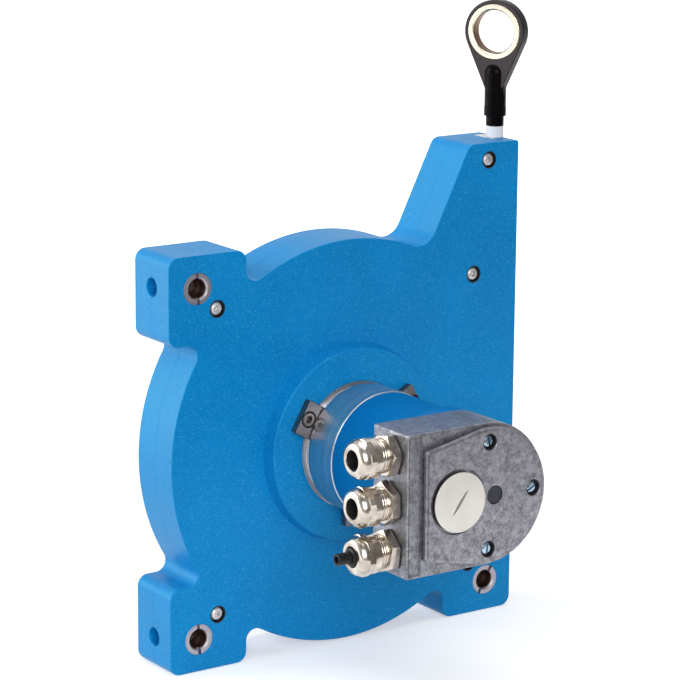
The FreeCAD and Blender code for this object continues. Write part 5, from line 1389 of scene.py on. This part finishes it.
cut(adapter, slab((-adapter_left + 0.6 * MM, -adapter_radius + 1.2 * MM),
                  (-cap_left - 0.7 * MM, adapter_radius - 1.2 * MM),
                  adapter_front - 0.35 * MM, adapter_front + MM))
strip_frame = extruded("strip_frame", corners(*strip_corners(0.95 * MM, 1.5 * MM)),
                       adapter_front - 0.6 * MM, adapter_front + 0.05 * MM, rim=0.08 * MM)
cut(strip_frame, slab(*strip_corners(1.25 * MM, 1.8 * MM), adapter_front - MM, adapter_front + MM))
unite(adapter, strip_frame)
finish(adapter, adapter_grey, "housing", ("adapter_block",))

# %% Cap gasket
gasket = extruded("gasket_flat", cap_outline(0.25 * MM), adapter_front, cap_rear, rim=0.1 * MM)
cut(gasket, extruded("cutter", cap_outline(MOUTH_INSET), adapter_front - MM, cap_rear + MM))
finish(gasket, gasket_black, "housing", ("cap_gasket",))

# %% [markdown]
# The cap keeps a fine raised rim along its edge, and each hole in it has a bright bevel.

# %% Cap
SEAT = 3.3 * MM
CAP_RECESS = 3.65 * MM
CAP_REACH = 4 * MM
PLUG_SEAT = 1.2 * MM
LENS_SEAT = 1.7 * MM
plug_low, plug_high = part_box("access_plug")
lens_low, lens_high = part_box("status_lens")
plug_x = middle("access_plug", "x")
plug_radius = half_size("access_plug", "x")
lens_x = middle("status_lens", "x")
lens_radius = half_size("status_lens", "x")
cap_circle = cap_radius - 6.35 * MM
cap_places = [(0, cap_circle), (cap_circle, 0), (0, -cap_circle)]
cap = extruded("cap_cast", cap_outline(0), cap_rear, cap_front - 0.45 * MM, rim=0.3 * MM)
unite(cap, extruded("step", cap_outline(2 * MM), cap_rear - 2.6 * MM, cap_rear + MM, rim=0.1 * MM))
ridge_outline = cap_outline(1.3 * MM)
unite(cap, extruded("top", ridge_outline, cap_rear + MM, cap_front - 0.12 * MM, rim=0.15 * MM))
ridge = extruded("ridge", ridge_outline, cap_rear + MM, cap_front, rim=0.12 * MM)
cut(ridge, extruded("cutter", cap_outline(1.75 * MM), cap_rear, cap_front + MM))
unite(cap, ridge)
for x, z in cap_places:
    cut(cap, hole(x, z, CAP_RECESS, cap_front - SEAT, cap_front, segments=48))
    cut(cap, hole(x, z, 1.5 * MM, cap_rear - CAP_REACH, cap_front - SEAT, 0, segments=32))
for x, radius, bore, seat, bevel, segments in (
    (plug_x, plug_radius + 1 * MM, 11.05 * MM, PLUG_SEAT, 0.3 * MM, (96, 96)),
    (lens_x, lens_radius + GAP, lens_radius - 0.8 * MM, LENS_SEAT, 0.25 * MM, (64, 48)),
):
    cut(cap, hole(x, 0, radius, cap_front - seat, cap_front, bevel, segments=segments[0]))
    cut(cap, hole(x, 0, bore, cap_rear - CAP_REACH, cap_front - seat, 0, segments=segments[1]))
finish(cap, cap_grey, "housing", ("adapter_cap",))

# %% Cap screws
slotted = screw([
    (-11 * MM, 0), (-11 * MM, 1 * MM), (-10.5 * MM, 1.45 * MM), (0, 1.45 * MM), (0, 2.7 * MM),
    (1.8 * MM, 2.7 * MM, 0.4 * MM), (2.2 * MM, 1.6 * MM, 0.4 * MM), (2.2 * MM, 0),
], corners((-0.5 * MM, -4 * MM), (0.5 * MM, 4 * MM)), 0.7 * MM, 4 * MM)
place_screws("screws_cap", slotted, cap_places, (-12, 62, 2), cap_front - SEAT, 11,
             cap_screw_zinc, "cap_screws")
# Black rings in the screw recesses stand for the shade inside them: painted shade.
shade_rings_in_recesses("cap_recess_rings", cap_places, CAP_RECESS - 0.01 * MM,
             cap_front - SEAT + 0.02 * MM, cap_front - 0.5 * MM)

# %% Status lens
lens_disc = turned("lens_dark", [
    (-lens_high.y, 0), (-lens_high.y, lens_radius), (-lens_low.y - 0.2 * MM, lens_radius),
    (-lens_low.y, lens_radius - 0.3 * MM), (-lens_low.y, 0),
], (lens_x, 0, 0), segments=64, radius=0.1 * MM)
finish(lens_disc, lens_dark, "housing", ("status_lens",))

# %% [markdown]
# Access plug: a disc with a slot for a broad driver. The slot's two sides are arcs of a large
# radius that meet in a point at each end, and its floor is flat.

# %% Access plug
PLUG_SLOT = 14 * MM
PLUG_SLOT_HALF = 0.75 * MM
PLUG_TURN = -53
PLUG_NECK = 11 * MM
plug_head_rear = cap_front - PLUG_SEAT + 0.7 * MM
plug_front = -plug_low.y
plug_lip = plug_front - 0.7 * MM
plug_rear = -plug_high.y
plug_inner = plug_radius - 0.5 * MM
plug = turned("plug_disc", [
    (plug_rear, 0), (plug_rear, PLUG_NECK), (plug_head_rear, PLUG_NECK),
    (plug_head_rear, plug_inner), (plug_lip, plug_inner), (plug_lip, plug_radius),
    (plug_front, plug_radius, 0.35 * MM), (plug_front, 0),
], segments=128, radius=0.15 * MM)
bulge = (PLUG_SLOT ** 2 / 4 - PLUG_SLOT_HALF ** 2) / (2 * PLUG_SLOT_HALF)
swing = math.degrees(math.asin(PLUG_SLOT / 2 / (bulge + PLUG_SLOT_HALF)))
lens_slot = [
    *arc((0, -bulge), bulge + PLUG_SLOT_HALF, 90 - swing, 90 + swing, 16),
    *arc((0, bulge), bulge + PLUG_SLOT_HALF, 270 - swing, 270 + swing, 16)[1:-1],
]
cut(plug, extruded("cutter", lens_slot, plug_front - 3.4 * MM, plug_front + MM))
plug_turned = Matrix.Rotation(math.radians(PLUG_TURN), 4, "Y")
plug.data.transform(Matrix.Translation((plug_x, 0, 0)) @ plug_turned)
finish(plug, plug_nickel, "plug", ("access_plug",))

# %% Painted shade under the plug's lip
# A thin black ring under the plug's lip darkens the gap around the plug: painted shade.
shade_front = plug_front - 0.72 * MM
shade_outer, shade_inner = plug_radius - 0.1 * MM, plug_radius - 0.48 * MM
plug_seal = turned("plug_seal", [
    (plug_head_rear, shade_inner), (plug_head_rear, shade_outer), (shade_front, shade_outer),
    (shade_front, shade_inner),
], (plug_x, 0, 0), segments=96, radius=0.05 * MM)
finish(plug_seal, gasket_black, "plug")

# %% [markdown]
# Cable glands: a base hexagon, a threaded neck and a cap nut. The nut is a hexagon that a lathe
# has turned: a dome in front, and corners cut back behind, so each flat ends in an arc. The lowest
# gland is closed by a black pin with a collar.

# %% Cable glands
FLATS = 17 * MM
CORNERS = FLATS / math.cos(math.radians(30)) / 2
HEX_TURNS = (8, 34, 22)
NUT_TURNS = (12, 27, 41)
hex_start = adapter_left + 0.7 * MM
neck_start = hex_start + 4.5 * MM
neck_end = neck_start + 8.8 * MM
nut_start = neck_end - 5 * MM
nut_end = nut_start + 10.8 * MM
NECK = 7.3 * MM
BODY_WAY = 4.3 * MM
SEAL_SEAT = 5.6 * MM
NUT_SEAT = 5.85 * MM
CORD_WAY = 4.25 * MM
DOME = 3.9 * MM
DOME_FACE = 5.7 * MM
NUT_CORNERS = 9.15 * MM
SHANK = 7.55 * MM
NECK_INSIDE = 7.0 * MM
DOME_STEPS = 14
shank_end = adapter_left - GLAND_WALL
skirt = FLATS / 2 + 0.1 * MM
shoulder = nut_start + 3.9 * MM
nut_rear = shoulder - 0.2 * MM
dome_back = FLATS / 2 + 0.12 * MM - DOME_FACE


def side_hole(z, radius, near, far, bevel=0, segments=48):
    """Make a cutter along the axis of the gland at a height."""
    return hole(gland_depth, z, radius, near, far, bevel, "left", segments)


for number, (z, hex_turn, nut_turn) in enumerate(zip(gland_heights, HEX_TURNS, NUT_TURNS), 1):
    place = (0, -gland_depth, z)
    base = extruded("base", hexagon(CORNERS, hex_turn), hex_start, neck_start, place, "left")
    common(base, turned("lathe", [
        (hex_start, 0), (hex_start, CORNERS - 0.7 * MM), (hex_start + 0.5 * MM, CORNERS + 0.1 * MM),
        (neck_start - 0.9 * MM, CORNERS + 0.1 * MM), (neck_start, CORNERS - 1.5 * MM),
        (neck_start, 0),
    ], place, "left"))
    unite(base, turned("neck", [
        (shank_end, 0), (shank_end, 7.1 * MM), (shank_end + 0.5 * MM, SHANK),
        (hex_start + MM, SHANK), (neck_start - MM, SHANK), (neck_start, NECK_INSIDE),
        (neck_end - 0.6 * MM, NECK_INSIDE), (neck_end, 6.6 * MM), (neck_end, 0),
    ], place, "left"))
    cut(base, side_hole(z, BODY_WAY, shank_end - MM, neck_end))
    cut(base, side_hole(z, SEAL_SEAT, neck_end - 4.2 * MM, neck_end))
    coil = thread("coil", place, "left", neck_start + 0.4 * MM, neck_end - neck_start - 1.6 * MM,
                  NECK - 0.35 * MM, 0.42 * MM, 1.25 * MM, gland_nickel)
    base = join(f"gland_base_{number}", [base, coil])
    finish(base, gland_nickel, "housing", (f"gland_body_{number}",))

    nut = extruded("nut", hexagon(CORNERS, nut_turn), nut_rear, nut_end, place, "left")
    dome_profile = [
        (nut_rear, 0), (nut_rear, NUT_CORNERS - 0.5 * MM),
        (shoulder + 0.3 * MM, NUT_CORNERS), (nut_end - DOME - 0.2 * MM, NUT_CORNERS),
        *[(nut_end - DOME + DOME * math.cos(angle), DOME_FACE + dome_back * math.sin(angle))
          for angle in [math.pi / 2 * step / DOME_STEPS for step in range(DOME_STEPS, -1, -1)]],
        (nut_end, 0),
    ]
    common(nut, turned("lathe", dome_profile, place, "left"))
    unite(nut, turned("skirt", [
        (nut_start, 0), (nut_start, skirt - 0.4 * MM), (nut_start + 0.4 * MM, skirt),
        (shoulder, skirt), (shoulder, 0),
    ], place, "left"))
    cut(nut, side_hole(z, NECK + 0.1 * MM, nut_start - MM, neck_end + 0.3 * MM, segments=64))
    cut(nut, side_hole(z, NUT_SEAT, neck_end, neck_end + 4.5 * MM))
    cut(nut, side_hole(z, CORD_WAY, neck_end + 4 * MM, nut_end, 0.5 * MM, 64))
    tidy_mesh(nut.data, 11)
    nut.name = f"gland_cap_nut_{number}"
    finish(nut, gland_nickel, f"nut_{number}", (f"gland_nut_{number}",))

# %% Blanking pin
pin_low, pin_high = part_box("blanking_pin")
pin_radius = half_size("blanking_pin", "z")
pin_end = -pin_low.x
pin_place = (0, -gland_depth, gland_heights[-1])
collar_front = nut_end + 0.9 * MM
pin = turned("pin_stub", [
    (-pin_high.x, 0), (-pin_high.x, pin_radius), (pin_end - 6 * MM, pin_radius, 0.2 * MM),
    (pin_end, pin_radius, 0.5 * MM), (pin_end, 1.5 * MM, 0.3 * MM), (pin_end - 3 * MM, 1.4 * MM),
    (pin_end - 3 * MM, 0),
], pin_place, "left", 56, 0.1 * MM)
finish(pin, pin_black, "housing", ("blanking_pin",))
pin_collar = turned("pin_collar", [
    (nut_end - 1.1 * MM, pin_radius + GAP), (nut_end - 1.1 * MM, 4.05 * MM),
    (nut_end + 0.5 * MM, 4.05 * MM, 0.3 * MM),
    (collar_front, pin_radius + 0.5 * MM, 0.2 * MM), (collar_front, pin_radius + GAP),
], pin_place, "left", 56, 0.1 * MM)
finish(pin_collar, pin_black, "housing")
